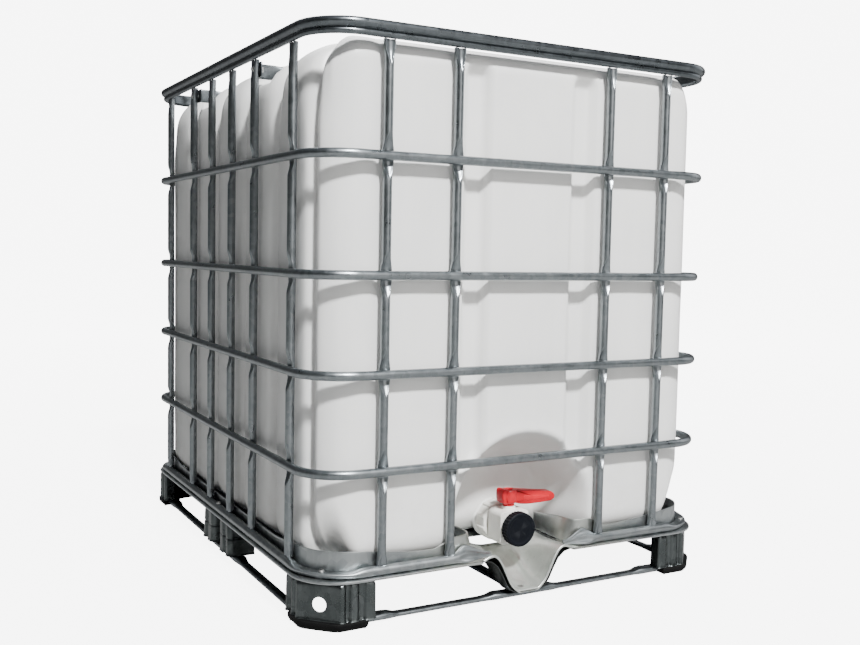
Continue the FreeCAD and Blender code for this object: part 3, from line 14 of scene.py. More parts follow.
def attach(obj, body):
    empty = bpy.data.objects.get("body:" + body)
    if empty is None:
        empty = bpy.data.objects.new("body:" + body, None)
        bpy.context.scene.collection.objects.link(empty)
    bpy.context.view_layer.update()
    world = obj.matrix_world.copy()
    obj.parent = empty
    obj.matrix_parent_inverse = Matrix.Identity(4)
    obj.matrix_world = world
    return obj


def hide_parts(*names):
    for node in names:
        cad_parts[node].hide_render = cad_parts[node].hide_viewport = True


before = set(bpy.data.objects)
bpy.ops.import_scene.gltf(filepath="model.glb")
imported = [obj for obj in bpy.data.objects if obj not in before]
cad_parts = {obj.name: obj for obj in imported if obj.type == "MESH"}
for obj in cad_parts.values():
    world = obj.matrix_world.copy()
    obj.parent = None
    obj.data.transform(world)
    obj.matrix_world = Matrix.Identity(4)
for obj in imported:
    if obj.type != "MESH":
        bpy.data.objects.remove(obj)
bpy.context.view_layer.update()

# ------------------------------------------------------------------ driving dimensions
MM = 0.001
PALLET_X, PALLET_Y = 500.0, 600.0          # half sizes of the pallet
TUBE_R = 9.0                               # cage rings and uprights
RING_X, RING_Y, RING_BEND = 491.0, 591.0, 95.0
RING_HEIGHTS = (910.0, 683.0, 492.0, 303.0)
UPRIGHT_X, UPRIGHT_Y = RING_X - 6.0, RING_Y - 6.0
UPRIGHT_FOOT_Z, UPRIGHT_HEAD_Z = 119.3, 1127.4
BASE_X, BASE_Y, BASE_BEND = 488.0, 588.0, 110.0     # centre line of the cage's bottom rail
CROSSBAR_Y, CROSSBAR_Z = 213.0, 1108.0
CROSSBAR_BOLT_Y = 232.0                    # also the place of the uprights they pass through
SKID_Z = 11.0
BOTTLE_TOP = 1138.0
OUTLET = (0, 0, 141)                       # a point on the outlet's axis
CORNERS = ((-1, -1), (1, -1), (-1, 1), (1, 1))      # signs of x and y


# ------------------------------------------------------------------ curves and outlines
def ease(t):
    """0 to 1 with level ends."""
    t = np.clip(t, 0.0, 1.0)
    return t * t * (3 - 2 * t)


def soft_min(first, second, blend):
    """The smaller value, rounded over where the two meet."""
    share = np.clip(0.5 + 0.5 * (second - first) / blend, 0, 1)
    return second * (1 - share) + first * share - blend * share * (1 - share)


def ripple(u, v, seed):
    """Smooth repeatable ripple, about -1 to 1."""
    draws = np.random.default_rng(seed)
    total = 0
    size = 1.0
    for i in range(6):
        along_u, along_v, phase = draws.uniform(-1, 1, 3)
        total = total + size * np.sin(u * along_u * (1 + i) + v * along_v * (1 + i) + phase * 9)
        size *= 0.8
    return total / 2.6


def inset_poly(outline, inset):
    """Closed outline moved inwards by `inset`."""
    if inset == 0:
        return outline
    before, after = np.roll(outline, 1, 0), np.roll(outline, -1, 0)
    edges = [outline - before, after - outline]
    area = np.sum(outline[:, 0] * after[:, 1] - after[:, 0] * outline[:, 1])
    sign = 1.0 if area > 0 else -1.0
    mitre = 0
    for edge in edges:
        edge /= np.linalg.norm(edge, axis=1)[:, None] + 1e-9
        mitre = mitre + np.c_[-edge[:, 1], edge[:, 0]] * sign
    mitre /= np.maximum((mitre * mitre).sum(1) / 2.0, 0.5)[:, None]
    return outline + mitre * inset


def bend_points(before, corner, after, radius, share, steps=4):
    """Points round a corner; the bend takes at most `share` of either side."""
    to_before, to_after = before - corner, after - corner
    length_in, length_out = np.linalg.norm(to_before), np.linalg.norm(to_after)
    reach = min(radius, length_in * share, length_out * share)
    if reach < 0.05:
        return [corner]
    start = corner + to_before / length_in * reach
    end = corner + to_after / length_out * reach
    return [(1 - t) ** 2 * start + 2 * t * (1 - t) * corner + t * t * end
            for t in (i / steps for i in range(steps + 1))]


def round_poly(outline, radius, steps=4):
    """Closed polygon with rounded corners; `radius` is one value or one for each corner."""
    outline = np.asarray(outline, float)
    count = len(outline)
    radii = np.broadcast_to(radius, count)
    points = []
    for i in range(count):
        points += bend_points(outline[i - 1], outline[i], outline[(i + 1) % count],
                              radii[i], 0.48, steps)
    return np.array(points)


def even_line(corners, count, radius):
    """Open polyline with rounded corners, as `count` evenly spaced points."""
    corners = np.asarray(corners, float)
    points = [corners[0]]
    for i in range(1, len(corners) - 1):
        points += bend_points(corners[i - 1], corners[i], corners[i + 1], radius, 0.45)
    points.append(corners[-1])
    return even_stations(np.array(points), count)


def even_stations(points, count):
    """`count` stations along a line of points, evenly spaced by its length in x and y."""
    run = np.r_[0, np.cumsum(np.linalg.norm(np.diff(points[:, :2], axis=0), axis=1))]
    stations = np.linspace(0, run[-1], count)
    return np.stack([np.interp(stations, run, column) for column in points.T], -1)


def inward_normals(line, at, towards):
    """Unit normals of an open line, on the side where station `at` looks `towards` a point."""
    tangent = np.gradient(line, axis=0)
    tangent /= np.linalg.norm(tangent, axis=1)[:, None] + 1e-9
    normals = np.c_[-tangent[:, 1], tangent[:, 0]]
    if np.dot(normals[at], np.array(towards) - line[at]) < 0:
        normals = -normals
    return normals


def oval(half_width, half_height, power=1.0, count=24):
    """Ellipse, squarer as `power` falls below 1."""
    angle = np.linspace(0, 2 * math.pi, count, endpoint=False)
    across, rise = np.cos(angle), np.sin(angle)
    return np.c_[half_width * np.sign(across) * np.abs(across) ** power,
                 half_height * np.sign(rise) * np.abs(rise) ** power]


def rounded_rect(half_x, half_y, radius, step, arc_steps=18, gap=0.0):
    """Rounded rectangle from the middle of the front, anticlockwise seen from above.

    Returns points, outward normals and each point's distance from the nearest bend.
    `gap` leaves the front open between -gap and +gap."""
    far = 1e3
    points, normals, bend_gaps = [], [], []
    inner_x, inner_y = half_x - radius, half_y - radius

    def line(start, end, normal, from_bend=True, to_bend=True):
        start, end = np.array(start, float), np.array(end, float)
        length = np.linalg.norm(end - start)
        count = max(2, int(length / step))
        for i in range(count):
            t = i / count
            points.append(start + (end - start) * t)
            normals.append(normal)
            bend_gaps.append(min(length * t if from_bend else far,
                                 length * (1 - t) if to_bend else far))

    def arc(centre_x, centre_y, first):
        for i in range(arc_steps):
            angle = first + math.pi / 2 * i / arc_steps
            normal = (math.cos(angle), math.sin(angle))
            points.append(np.array([centre_x + radius * normal[0], centre_y + radius * normal[1]]))
            normals.append(normal)
            bend_gaps.append(0.0)

    line((gap, -half_y), (inner_x, -half_y), (0, -1), from_bend=False)
    arc(inner_x, -inner_y, -math.pi / 2)
    line((half_x, -inner_y), (half_x, inner_y), (1, 0))
    arc(inner_x, inner_y, 0)
    line((inner_x, half_y), (-inner_x, half_y), (0, 1))
    arc(-inner_x, inner_y, math.pi / 2)
    line((-half_x, inner_y), (-half_x, -inner_y), (-1, 0))
    arc(-inner_x, -inner_y, math.pi)
    line((-inner_x, -half_y), (-gap, -half_y), (0, -1), to_bend=False)
    if gap:
        points.append(np.array([-gap, -half_y]))
        normals.append((0, -1))
        bend_gaps.append(far)
    return np.array(points), np.array(normals, float), np.array(bend_gaps)


# ------------------------------------------------------------------ mesh collector
def ring_quads(index):
    """Quads between the rows of a grid of vertex numbers; each row closes on itself."""
    after = np.roll(index, -1, axis=1)
    return np.stack([index[:-1], after[:-1], after[1:], index[1:]], -1).reshape(-1, 4).tolist()


class Shells:
    """Collects closed shells, in mm, and turns them into one object."""

    def __init__(self):
        self.verts, self.faces, self.slots, self.count = [], [], [], 0

    def add(self, verts, faces, slot=0):
        verts = np.asarray(verts, float).reshape(-1, 3)
        self.verts.append(verts)
        self.faces.extend([tuple(int(i) + self.count for i in face) for face in faces])
        self.slots.extend([slot] * len(faces))
        self.count += len(verts)

    def add_turned(self, part, at, axis):
        """Adds another collection with its origin at `at` and its +Z turned to `axis`."""
        turn = Vector((0, 0, 1)).rotation_difference(Vector(axis).normalized()).to_matrix()
        self.add(np.concatenate(part.verts) @ np.array(turn).T + np.array(at, float), part.faces)

    def move(self, place):
        self.verts = [place(verts) for verts in self.verts]

    def grid(self, points, loop=False):
        """points[station, around]; stations close into a loop, or the ends are capped."""
        points = np.asarray(points, float)
        rows, around = points.shape[:2]
        index = np.arange(rows * around).reshape(rows, around)
        verts = points.reshape(-1, 3)
        if loop:
            self.add(verts, ring_quads(np.concatenate([index, index[:1]])))
            return
        first, last = rows * around, rows * around + 1
        faces = ring_quads(index)
        pairs = [(j, (j + 1) % around) for j in range(around)]
        faces += [(index[0, k], index[0, j], first) for j, k in pairs]
        faces += [(index[-1, j], index[-1, k], last) for j, k in pairs]
        self.add(np.concatenate([verts, [points[0].mean(0), points[-1].mean(0)]]), faces)

    def sheet(self, one_side, other_side, slot=0):
        """Closed plate between two equal grids of points."""
        one_side, other_side = np.asarray(one_side, float), np.asarray(other_side, float)
        points = np.concatenate([one_side, other_side[:, ::-1]], axis=1)
        rows, around = points.shape[:2]
        index = np.arange(rows * around).reshape(rows, around)
        faces = ring_quads(index)
        for row, flip in ((index[0], True), (index[-1], False)):
            for j in range(around // 2 - 1):
                quad = [row[j], row[j + 1], row[around - 2 - j], row[around - 1 - j]]
                faces.append(quad[::-1] if flip else quad)
        self.add(points, faces, slot)

    def lathe(self, profile, axis="z", at=(0, 0, 0), segments=64, shape=None, loop=False):
        """profile: (radius, along). shape(angle, radius, along) may change the radius."""
        profile = np.asarray(profile, float)
        angle = np.linspace(0, 2 * math.pi, segments, endpoint=False)
        radius = np.repeat(profile[:, 0:1], segments, 1)
        along = np.repeat(profile[:, 1:2], segments, 1)
        if shape is not None:
            radius = shape(angle, radius, along)
        across, rise = radius * np.cos(angle), radius * np.sin(angle)
        parts = {"z": (across, rise, along), "-y": (across, -along, rise),
                 "x": (along, across, rise)}[axis]
        self.grid(np.stack(parts, -1) + np.array(at, float), loop=loop)

    def layers(self, outline, rows, place=None):
        """Closed outline (x, y) stacked in rows of (z, inset)."""
        points = np.array([np.c_[inset_poly(outline, inset), np.full(len(outline), z)]
                           for z, inset in rows])
        self.grid(points if place is None else place(points))

    def prism(self, outline, low, high, bevel, place=None, steps=2):
        """Closed outline (x, y) pulled from `low` to `high` with rounded rims."""
        angles = [math.pi / 2 * i / steps for i in range(steps + 1)]
        rows = [(low + bevel * (1 - math.cos(a)), bevel * (1 - math.sin(a))) for a in angles]
        rows += [(low + high - z, inset) for z, inset in rows[::-1]]
        self.layers(np.asarray(outline, float), rows, place)

    def sweep_plan(self, half_x, half_y, radius, section, z, **plan):
        """section(x, y, bend_gap) gives (out, up) points, swept round a rounded rectangle."""
        points, normals, bend_gaps = rounded_rect(half_x, half_y, radius, **plan)
        rows = []
        for (x, y), normal, bend_gap in zip(points, normals, bend_gaps):
            out, rise = section(x, y, bend_gap).T
            rows.append(np.c_[x + normal[0] * out, y + normal[1] * out, z + rise])
        self.grid(np.array(rows), loop="gap" not in plan)

    def tube(self, path, radii, count=16, up=(0, 0, 1)):
        """Tube along a 3-D path; radii is one value, (side, up), or (side, up) for each point."""
        path = np.asarray(path, float)
        radii = np.broadcast_to(radii, (len(path), 2))
        tangents = np.gradient(path, axis=0)
        tangents /= np.linalg.norm(tangents, axis=1)[:, None]
        angle = np.linspace(0, 2 * math.pi, count, endpoint=False)[:, None]
        rows = []
        for point, tangent, (side_r, up_r) in zip(path, tangents, radii):
            side = np.cross(tangent, np.array(up, float))
            side /= np.linalg.norm(side)
            rise = np.cross(side, tangent)
            rows.append(point + side_r * np.cos(angle) * side + up_r * np.sin(angle) * rise)
        self.grid(np.array(rows))

    def make(self, name, node, slot, *materials, body="container", angle=35):
        """Object that replaces CAD piece `node`; edges sharper than `angle` degrees stay hard."""
        mesh = bpy.data.meshes.new(name)
        mesh.from_pydata((np.concatenate(self.verts) * MM).tolist(), [], self.faces)
        for material in materials:
            mesh.materials.append(material)
        if len(materials) > 1:
            mesh.polygons.foreach_set("material_index", np.array(self.slots, np.int32))
        work = bmesh.new()
        work.from_mesh(mesh)
        bmesh.ops.remove_doubles(work, verts=work.verts, dist=1e-6)
        bmesh.ops.recalc_face_normals(work, faces=work.faces)
        work.to_mesh(mesh)
        work.free()
        mesh.polygons.foreach_set("use_smooth", np.ones(len(mesh.polygons), bool))
        mesh.set_sharp_from_angle(angle=math.radians(angle))
        mesh.update()
        made = bpy.data.objects.new(name, mesh)
        bpy.context.scene.collection.objects.link(made)
        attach(made, body)
        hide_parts(node)


# ------------------------------------------------------------------ materials
def scaled(colour, factor):
    return tuple(min(1, part * factor) for part in colour)


class Shader:
    """A material and its nodes, textured in object space (metres)."""

    def __init__(self, name):
        self.material = bpy.data.materials.new(name)
        self.material.use_nodes = True
        self.tree = self.material.node_tree
        self.bsdf = next(n for n in self.tree.nodes if n.type == "BSDF_PRINCIPLED")
        self.place = self.new("ShaderNodeTexCoord").outputs["Object"]

    def new(self, kind, **settings):
        node = self.tree.nodes.new(kind)
        for key, value in settings.items():
            setattr(node, key, value)
        return node

    def put(self, socket, value):
        """Links a socket to another, or sets its value."""
        if isinstance(value, bpy.types.NodeSocket):
            self.tree.links.new(value, socket)
        else:
            socket.default_value = value

    def axes(self, vector):
        node = self.new("ShaderNodeSeparateXYZ")
        self.put(node.inputs[0], vector)
        return node.outputs

    def noise(self, scale, detail=3.0, roughness=0.55, stretch=None, distortion=0.0):
        vector = self.place
        if stretch:
            mapping = self.new("ShaderNodeMapping")
            self.put(mapping.inputs["Vector"], vector)
            mapping.inputs["Scale"].default_value = stretch
            vector = mapping.outputs["Vector"]
        node = self.new("ShaderNodeTexNoise")
        self.put(node.inputs["Vector"], vector)
        node.inputs["Scale"].default_value = scale
        node.inputs["Detail"].default_value = detail
        node.inputs["Roughness"].default_value = roughness
        node.inputs["Distortion"].default_value = distortion
        return node.outputs["Fac"]

    def span(self, value, window, result=(0.0, 1.0)):
        """Maps the input window onto the result range, clamped."""
        node = self.new("ShaderNodeMapRange")
        node.clamp = True
        self.put(node.inputs["Value"], value)
        for key, number in zip(("From Min", "From Max", "To Min", "To Max"), (*window, *result)):
            node.inputs[key].default_value = number
        return node.outputs["Result"]

    def mask(self, window, result=(0.0, 1.0), **noise):
        return self.span(self.noise(**noise), window, result)

    def math(self, operation, first, second=0.0):
        node = self.new("ShaderNodeMath", operation=operation)
        for i, value in enumerate((first, second, 0.0)):
            self.put(node.inputs[i], value)
        return node.outputs[0]

    def mix(self, share, first, second):
        node = self.new("ShaderNodeMix", data_type="RGBA", blend_type="MIX")
        self.put(node.inputs[0], share)
        for socket, value in ((node.inputs[6], first), (node.inputs[7], second)):
            if not isinstance(value, bpy.types.NodeSocket):
                value = (*value, 1.0)
            self.put(socket, value)
        return node.outputs[2]

    def worn_edges(self, window, amount):
        geometry = self.new("ShaderNodeNewGeometry")
        return self.math("MULTIPLY", self.span(geometry.outputs["Pointiness"], window), amount)

    def bump(self, height, strength, distance):
        node = self.new("ShaderNodeBump")
        node.inputs["Strength"].default_value = strength
        node.inputs["Distance"].default_value = distance
        self.put(node.inputs["Height"], height)
        self.tree.links.new(node.outputs["Normal"], self.bsdf.inputs["Normal"])

    def bump_pair(self, fine, fine_height, coarse, coarse_height, strength, distance):
        """Bumps from two noises, given as their arguments and relative heights."""
        parts = [self.math("MULTIPLY", self.noise(**noise), height)
                 for noise, height in ((fine, fine_height), (coarse, coarse_height))]
        self.bump(self.math("ADD", *parts), strength, distance)

    def finish(self, colour, rough, metallic=0.0, specular=0.5):
        for key, value in (("Base Color", colour), ("Roughness", rough), ("Metallic", metallic),
                           ("Specular IOR Level", specular)):
            self.put(self.bsdf.inputs[key], value)
        return self.material


def galvanised(name, base, light, dull, rough, flake_scale=95.0, flake_mix=0.40, metallic=1.0,
               scuff=0.35, under=0.0, painted_light_colour=None):
    """Zinc-coated steel: crystal flakes, stains, streaks and scuffs.

    `under` paints shade on faces that look down; the last argument is a colour that paints light on
    the part round the valve."""
    shader = Shader(name)
    split = shader.new("ShaderNodeSeparateColor")
    cells = shader.new("ShaderNodeTexVoronoi", feature="F1")
    shader.put(cells.inputs["Vector"], shader.place)
    cells.inputs["Scale"].default_value = flake_scale
    shader.put(split.inputs[0], cells.outputs["Color"])
    flake = shader.span(split.outputs[0], window=(0.0, 1.0))
    colour = shader.mix(shader.math("MULTIPLY", flake, flake_mix), base, light)
    stain = shader.mask(scale=6.0, roughness=0.5, distortion=0.4,
                        window=(0.40, 0.72), result=(0.0, 0.5))
    colour = shader.mix(stain, colour, dull)
    streak = shader.mask(scale=30.0, roughness=0.6, stretch=(4.0, 4.0, 0.5),
                         window=(0.5, 0.75), result=(0.0, 0.2))
    colour = shader.mix(streak, colour, light)
    spots = shader.mask(scale=210.0, detail=2.0, roughness=0.5,
                        window=(0.66, 0.74), result=(0.0, scuff))
    colour = shader.mix(spots, colour, scaled(dull, 0.6))
    edges = shader.worn_edges(window=(0.54, 0.62), amount=0.45)
    colour = shader.mix(edges, colour, scaled(light, 1.35))
    if painted_light_colour is not None:
        x, y, _ = shader.axes(shader.place)
        # painted light: the sheet round the valve is made paler as if lit strongly; fades out 0.20
        # to 0.29 m either side and 0.55 to 0.50 m in front of the middle
        across = shader.span(shader.math("ABSOLUTE", x), window=(0.20, 0.29), result=(1.0, 0.0))
        near = shader.math("MULTIPLY", across, shader.span(y, window=(-0.50, -0.55)))
        colour = shader.mix(shader.math("MULTIPLY", near, 0.85), colour, painted_light_colour)
    # painted shade: faces that look down are darkened towards a dim copy of the dull colour
    if under:
        geometry = shader.new("ShaderNodeNewGeometry")
        facing = shader.axes(geometry.outputs["Normal"])[2]
        below = shader.span(facing, window=(-0.05, -0.30), result=(0.0, under))
        colour = shader.mix(below, colour, scaled(dull, 0.22))
    roughness = shader.mask(scale=26.0, detail=4.0, roughness=0.62,
                            window=(0.3, 0.75), result=rough)
    for layer, share in ((spots, 0.35), (flake, 0.05)):
        roughness = shader.math("ADD", roughness, shader.math("MULTIPLY", layer, share))
    shader.bump_pair(fine=dict(scale=420.0, detail=2.0), fine_height=0.5,
                     coarse=dict(scale=48.0), coarse_height=1.4, strength=0.025, distance=0.0009)
    return shader.finish(colour, roughness, metallic)


def moulded(name, base, tone, rough, bump=0.10, dirt=None, dirt_amount=0.3, edge=None,
            patch_scale=5.0, specular=0.5):
    """Moulded plastic or rubber: soft patches from base to tone, dirt and paler worn edges."""
    shader = Shader(name)
    patches = shader.mask(scale=patch_scale, detail=4.0, roughness=0.6, distortion=0.5,
                          window=(0.35, 0.7))
    colour = shader.mix(patches, base, tone)
    if dirt is not None:
        dirty = shader.mask(scale=34.0, detail=5.0, roughness=0.68,
                            window=(0.55, 0.78), result=(0.0, dirt_amount))
        colour = shader.mix(dirty, colour, dirt)
    if edge is not None:
        colour = shader.mix(shader.worn_edges(window=(0.53, 0.60), amount=0.6), colour, edge)
    roughness = shader.mask(scale=18.0, detail=4.0, roughness=0.6,
                            window=(0.3, 0.72), result=rough)
    shader.bump_pair(fine=dict(scale=260.0), fine_height=0.6,
                     coarse=dict(scale=31.2), coarse_height=0.8, strength=bump, distance=0.0007)
    return shader.finish(colour, roughness, specular=specular)


def bottle_plastic():
    """Blow-moulded HDPE: warm white, faint vertical draw marks, mottling and dust low down."""
    shader = Shader("bottle_hdpe")
    mottle = shader.mask(scale=3.2, detail=4.0, roughness=0.6, distortion=0.8,
                         window=(0.38, 0.68))
    colour = shader.mix(mottle, (0.80, 0.795, 0.775), (0.735, 0.735, 0.72))
    draw = shader.mask(scale=16.0, roughness=0.6, stretch=(1.0, 1.0, 0.06),
                       window=(0.46, 0.72), result=(0.0, 0.35))
    colour = shader.mix(draw, colour, (0.86, 0.855, 0.84))
    low = shader.span(shader.axes(shader.place)[2], window=(0.10, 0.34), result=(0.30, 0.0))
    dust = shader.mask(scale=22.0, detail=5.0, roughness=0.7, window=(0.42, 0.66))
    colour = shader.mix(shader.math("MULTIPLY", low, dust), colour, (0.56, 0.54, 0.49))
    fleck = shader.mask(scale=160.0, detail=2.0, roughness=0.5,
                        window=(0.69, 0.75), result=(0.0, 0.16))
    colour = shader.mix(fleck, colour, (0.5, 0.49, 0.46))
    roughness = shader.mask(scale=9.0, detail=4.0, roughness=0.6, stretch=(1.0, 1.0, 0.35),
                            window=(0.3, 0.72), result=(0.30, 0.46))
    shader.bump_pair(fine=dict(scale=330.0), fine_height=0.35,
                     coarse=dict(scale=13.0, stretch=(1.0, 1.0, 0.25)), coarse_height=1.6,
                     strength=0.16, distance=0.0018)
    return shader.finish(colour, roughness, specular=0.42)


TUBE_STEEL = galvanised(
    "galvanised_tube", base=(0.215, 0.235, 0.245), light=(0.36, 0.385, 0.40),
    dull=(0.150, 0.167, 0.177), rough=(0.25, 0.38), scuff=0.1)
RAIL_STEEL = galvanised(
    "galvanised_rail", base=(0.120, 0.134, 0.142), light=(0.22, 0.24, 0.255),
    dull=(0.080, 0.090, 0.097), rough=(0.22, 0.36), flake_scale=70.0, scuff=0.2)
BASE_STEEL = galvanised(
    "galvanised_base_rail", base=(0.25, 0.27, 0.275), light=(0.43, 0.45, 0.455),
    dull=(0.165, 0.180, 0.187), rough=(0.30, 0.42), flake_scale=70.0, scuff=0.1)
# the paler colour round the valve opening is painted light
SHEET_STEEL = galvanised(
    "galvanised_sheet", base=(0.31, 0.33, 0.335), light=(0.52, 0.54, 0.54),
    dull=(0.205, 0.22, 0.225), rough=(0.28, 0.42), flake_scale=55.0, flake_mix=0.56,
    scuff=0.1, painted_light_colour=(0.52, 0.535, 0.50))
FOOT_STEEL = galvanised(
    "galvanised_foot", base=(0.078, 0.088, 0.088), light=(0.17, 0.185, 0.185),
    dull=(0.048, 0.055, 0.055), rough=(0.22, 0.36), flake_scale=55.0, flake_mix=0.48, scuff=0.3)
# the trough's faces that look down get painted shade
TROUGH_STEEL = galvanised(
    "galvanised_trough", base=(0.56, 0.58, 0.55), light=(0.72, 0.735, 0.70),
    dull=(0.42, 0.44, 0.415), rough=(0.28, 0.46), flake_scale=48.0, flake_mix=0.72,
    metallic=0.8, scuff=0.3, under=1.0)
# very dark copy of the trough steel: painted shade for the skirts, which face away from the light
PAINTED_SHADE_STEEL = galvanised(
    "galvanised_painted_shade", base=(0.050, 0.055, 0.053), light=(0.085, 0.09, 0.088),
    dull=(0.030, 0.033, 0.032), rough=(0.34, 0.5), flake_scale=48.0, metallic=0.9, scuff=0.2)
ZINC = galvanised(
    "zinc_fastener", base=(0.48, 0.49, 0.48), light=(0.66, 0.66, 0.64),
    dull=(0.30, 0.30, 0.29), rough=(0.20, 0.38), flake_scale=240.0)
BOTTLE_HDPE = bottle_plastic()
WHITE = moulded(
    "valve_white", base=(0.84, 0.825, 0.78), tone=(0.74, 0.72, 0.67), rough=(0.30, 0.46),
    dirt=(0.50, 0.46, 0.38), dirt_amount=0.18, patch_scale=16.0)
PTFE = moulded(
    "seat_ptfe", base=(0.86, 0.86, 0.85), tone=(0.78, 0.78, 0.77), rough=(0.28, 0.42),
    patch_scale=20.0)
BLACK = moulded(
    "black_plastic", base=(0.0032, 0.0040, 0.0062), tone=(0.006, 0.007, 0.0095),
    rough=(0.42, 0.60), bump=0.14, dirt=(0.04, 0.04, 0.042), dirt_amount=0.14,
    edge=(0.018, 0.019, 0.022), patch_scale=14.0, specular=0.07)
RED = moulded(
    "red_plastic", base=(0.58, 0.004, 0.016), tone=(0.44, 0.002, 0.010), rough=(0.30, 0.46),
    bump=0.14, dirt=(0.24, 0.02, 0.02), edge=(0.72, 0.05, 0.07), patch_scale=22.0, specular=0.35)
RUBBER = moulded(
    "seal_rubber", base=(0.020, 0.020, 0.022), tone=(0.038, 0.038, 0.038), rough=(0.55, 0.8),
    bump=0.3, dirt=(0.16, 0.15, 0.14), dirt_amount=0.25, patch_scale=25.0)
PAD_BLACK = moulded(
    "pad_black", base=(0.0028, 0.0028, 0.003), tone=(0.006, 0.006, 0.006), rough=(0.5, 0.7),
    bump=0.2, dirt=(0.05, 0.048, 0.044), dirt_amount=0.16, edge=(0.018, 0.018, 0.018),
    patch_scale=18.0, specular=0.08)


# ------------------------------------------------------------------ cage rings and top rail
def ring_section(x, y, bend_gap):
    """Round tube, a little narrower and taller in the bends."""
    bent = ease(1 - bend_gap / 30.0)
    return oval(TUBE_R - 0.55 * bent, TUBE_R + 0.35 * bent)


def cage_ring(name, z):
    piece = Shells()
    piece.sweep_plan(RING_X, RING_Y, RING_BEND, ring_section, z, step=30.0)
    # bead of the butt weld at the back
    piece.lathe([(8.2, -3.0), (9.25, -1.6), (9.6, 0), (9.25, 1.6), (8.2, 3.0)],
                axis="x", at=(0, RING_Y, z), segments=24)
    piece.make(name + "_tube", name, "galvanised", TUBE_STEEL)


for i, ring_z in enumerate(RING_HEIGHTS):
    cage_ring("cage_ring_%d" % (i + 1), ring_z)


def top_rail_section(x, y, bend_gap):
    """Two lobes, the larger on top and narrowed in the bends."""
    angle = np.radians(np.linspace(-52, 188, 26))
    upper = np.c_[0.5 + 9.4 * np.cos(angle), 22.5 + 9.4 * np.sin(angle)]
    angle = np.radians(np.linspace(160, 410, 20))
    lower = np.c_[-3.5 + 6.5 * np.cos(angle), 6.6 + 6.5 * np.sin(angle)]
    outline = np.r_[upper, lower]
    high = outline[:, 1] > 12
    bent = ease(1 - bend_gap / 35.0)
    outline[high, 0] = 0.5 + (outline[high, 0] - 0.5) * (1 - 0.05 * bent)
    return outline


rail = Shells()
rail.sweep_plan(RING_X - 1.0, RING_Y - 1.0, RING_BEND, top_rail_section, 1128.0, step=30.0)
rail.make("cage_top_rail_tube", "cage_top_rail", "galvanised", RAIL_STEEL)


# ------------------------------------------------------------------ uprights
def upright_heights():
    """Stations, close together at the rings and both ends."""
    foot, head = UPRIGHT_FOOT_Z, UPRIGHT_HEAD_Z
    heights = [foot] + list(np.arange(foot + 2.5, foot + 36, 3.0))
    for ring_z in RING_HEIGHTS:
        heights += [ring_z + d for d in np.arange(-49, 49.1, 2.6)]
    heights += list(np.arange(head - 56, head - 1, 3.0)) + [head]
    heights = sorted(set(np.round(heights, 2)))
    stations = [heights[0]]
    for z in heights[1:]:
        while z - stations[-1] > 34:
            stations.append(stations[-1] + 30)
        if z - stations[-1] > 1.2:
            stations.append(z)
    stations[-1] = head
    return stations


def upright_press(z):
    """How the tube is pressed in at z: depth, hollow's radius and spread to each side."""
    for ring_z in RING_HEIGHTS:
        away = abs(z - ring_z)
        if away < 46:
            return (12.0 * ease((46 - away) / 34.0) ** 0.85,
                    2.2 + 13.0 * ease((46 - away) / 30.0), 3.0 * ease((34 - away) / 26.0))
    below = UPRIGHT_HEAD_Z - z
    if below < 50:
        return (9.2 * ease((50 - below) / 34.0) ** 0.8,
                1.6 + 9.0 * ease((46 - below) / 40.0), 3.5 * ease((40 - below) / 34.0))
    above = z - UPRIGHT_FOOT_Z
    if above < 32:
        share = ease((32 - above) / 26.0)
        return 4.8 * share, 2.0 + 9.0 * share, 2.6 * ease((24 - above) / 22.0)
    return 0.0, 10.0, 0.0


def upright_grid():
    """Rows of (side, out, z) for one upright."""
    angle = np.linspace(0, 2 * math.pi, 30, endpoint=False)
    # points bunched towards the outer face, where the dents are
    angle = angle - 0.42 * np.sin(angle)
    facing = np.cos(angle)
    rows = []
    for z in upright_heights():
        depth, hollow, spread = upright_press(z)
        side = (TUBE_R + spread) * np.sin(angle)
        out = TUBE_R * facing
        if depth > 0.01:
            pressed = TUBE_R - depth + side * side / (2 * hollow)
            dented = soft_min(out, pressed, min(1.1, 0.25 + depth * 0.2))
            out = np.where(facing > -0.35, dented, out)
            # keeps the dent off the inner wall
            out = np.maximum(out, -TUBE_R * np.abs(facing) + 2.0 * (facing > -0.2))
        rows.append(np.c_[side, out, np.full(len(angle), z)])
    return np.array(rows)


UPRIGHT = upright_grid()


def weld_beads(piece, x, y, out_x, out_y):
    """Small beads above and below each ring, where it touches the upright."""
    along = np.linspace(-7, 7, 7)
    swell = np.cos(along / 5.0)
    radii = np.c_[0.5 + 1.3 * swell, 0.5 + 1.0 * swell]
    for ring_z in RING_HEIGHTS:
        for side in (-1, 1):
            path = np.c_[x - out_y * along + out_x * 0.5, y + out_x * along + out_y * 0.5,
                         ring_z + side * (6.6 - 0.008 * along * along)]
            piece.tube(path, radii, count=8)


def uprights(node, places, out_x, out_y):
    """Uprights at each (x, y) on the side of the cage that faces (out_x, out_y)."""
    piece = Shells()
    side, out, z = np.moveaxis(UPRIGHT, -1, 0)
    for x, y in places:
        piece.grid(np.stack([x - out_y * side + out_x * out, y + out_x * side + out_y * out, z], -1))
        weld_beads(piece, x, y, out_x, out_y)
    piece.make(node + "_tubes", node, "galvanised", TUBE_STEEL)


for side_name, side in (("front", -1), ("rear", 1)):
    uprights(side_name + "_verticals",
             [(x, side * UPRIGHT_Y) for x in (-342, -188, 188, 342)], 0, side)
for side_name, side in (("left", -1), ("right", 1)):
    uprights(side_name + "_verticals",
             [(side * UPRIGHT_X, y)
              for y in (-456, -CROSSBAR_BOLT_Y, -77, 77, CROSSBAR_BOLT_Y, 456)], side, 0)

# ------------------------------------------------------------------ bottom rail
# middle of each corner bend, where a bolt passes
BEND_MIDDLE = [half - BASE_BEND * (1 - math.sqrt(0.5)) for half in (BASE_X, BASE_Y)]


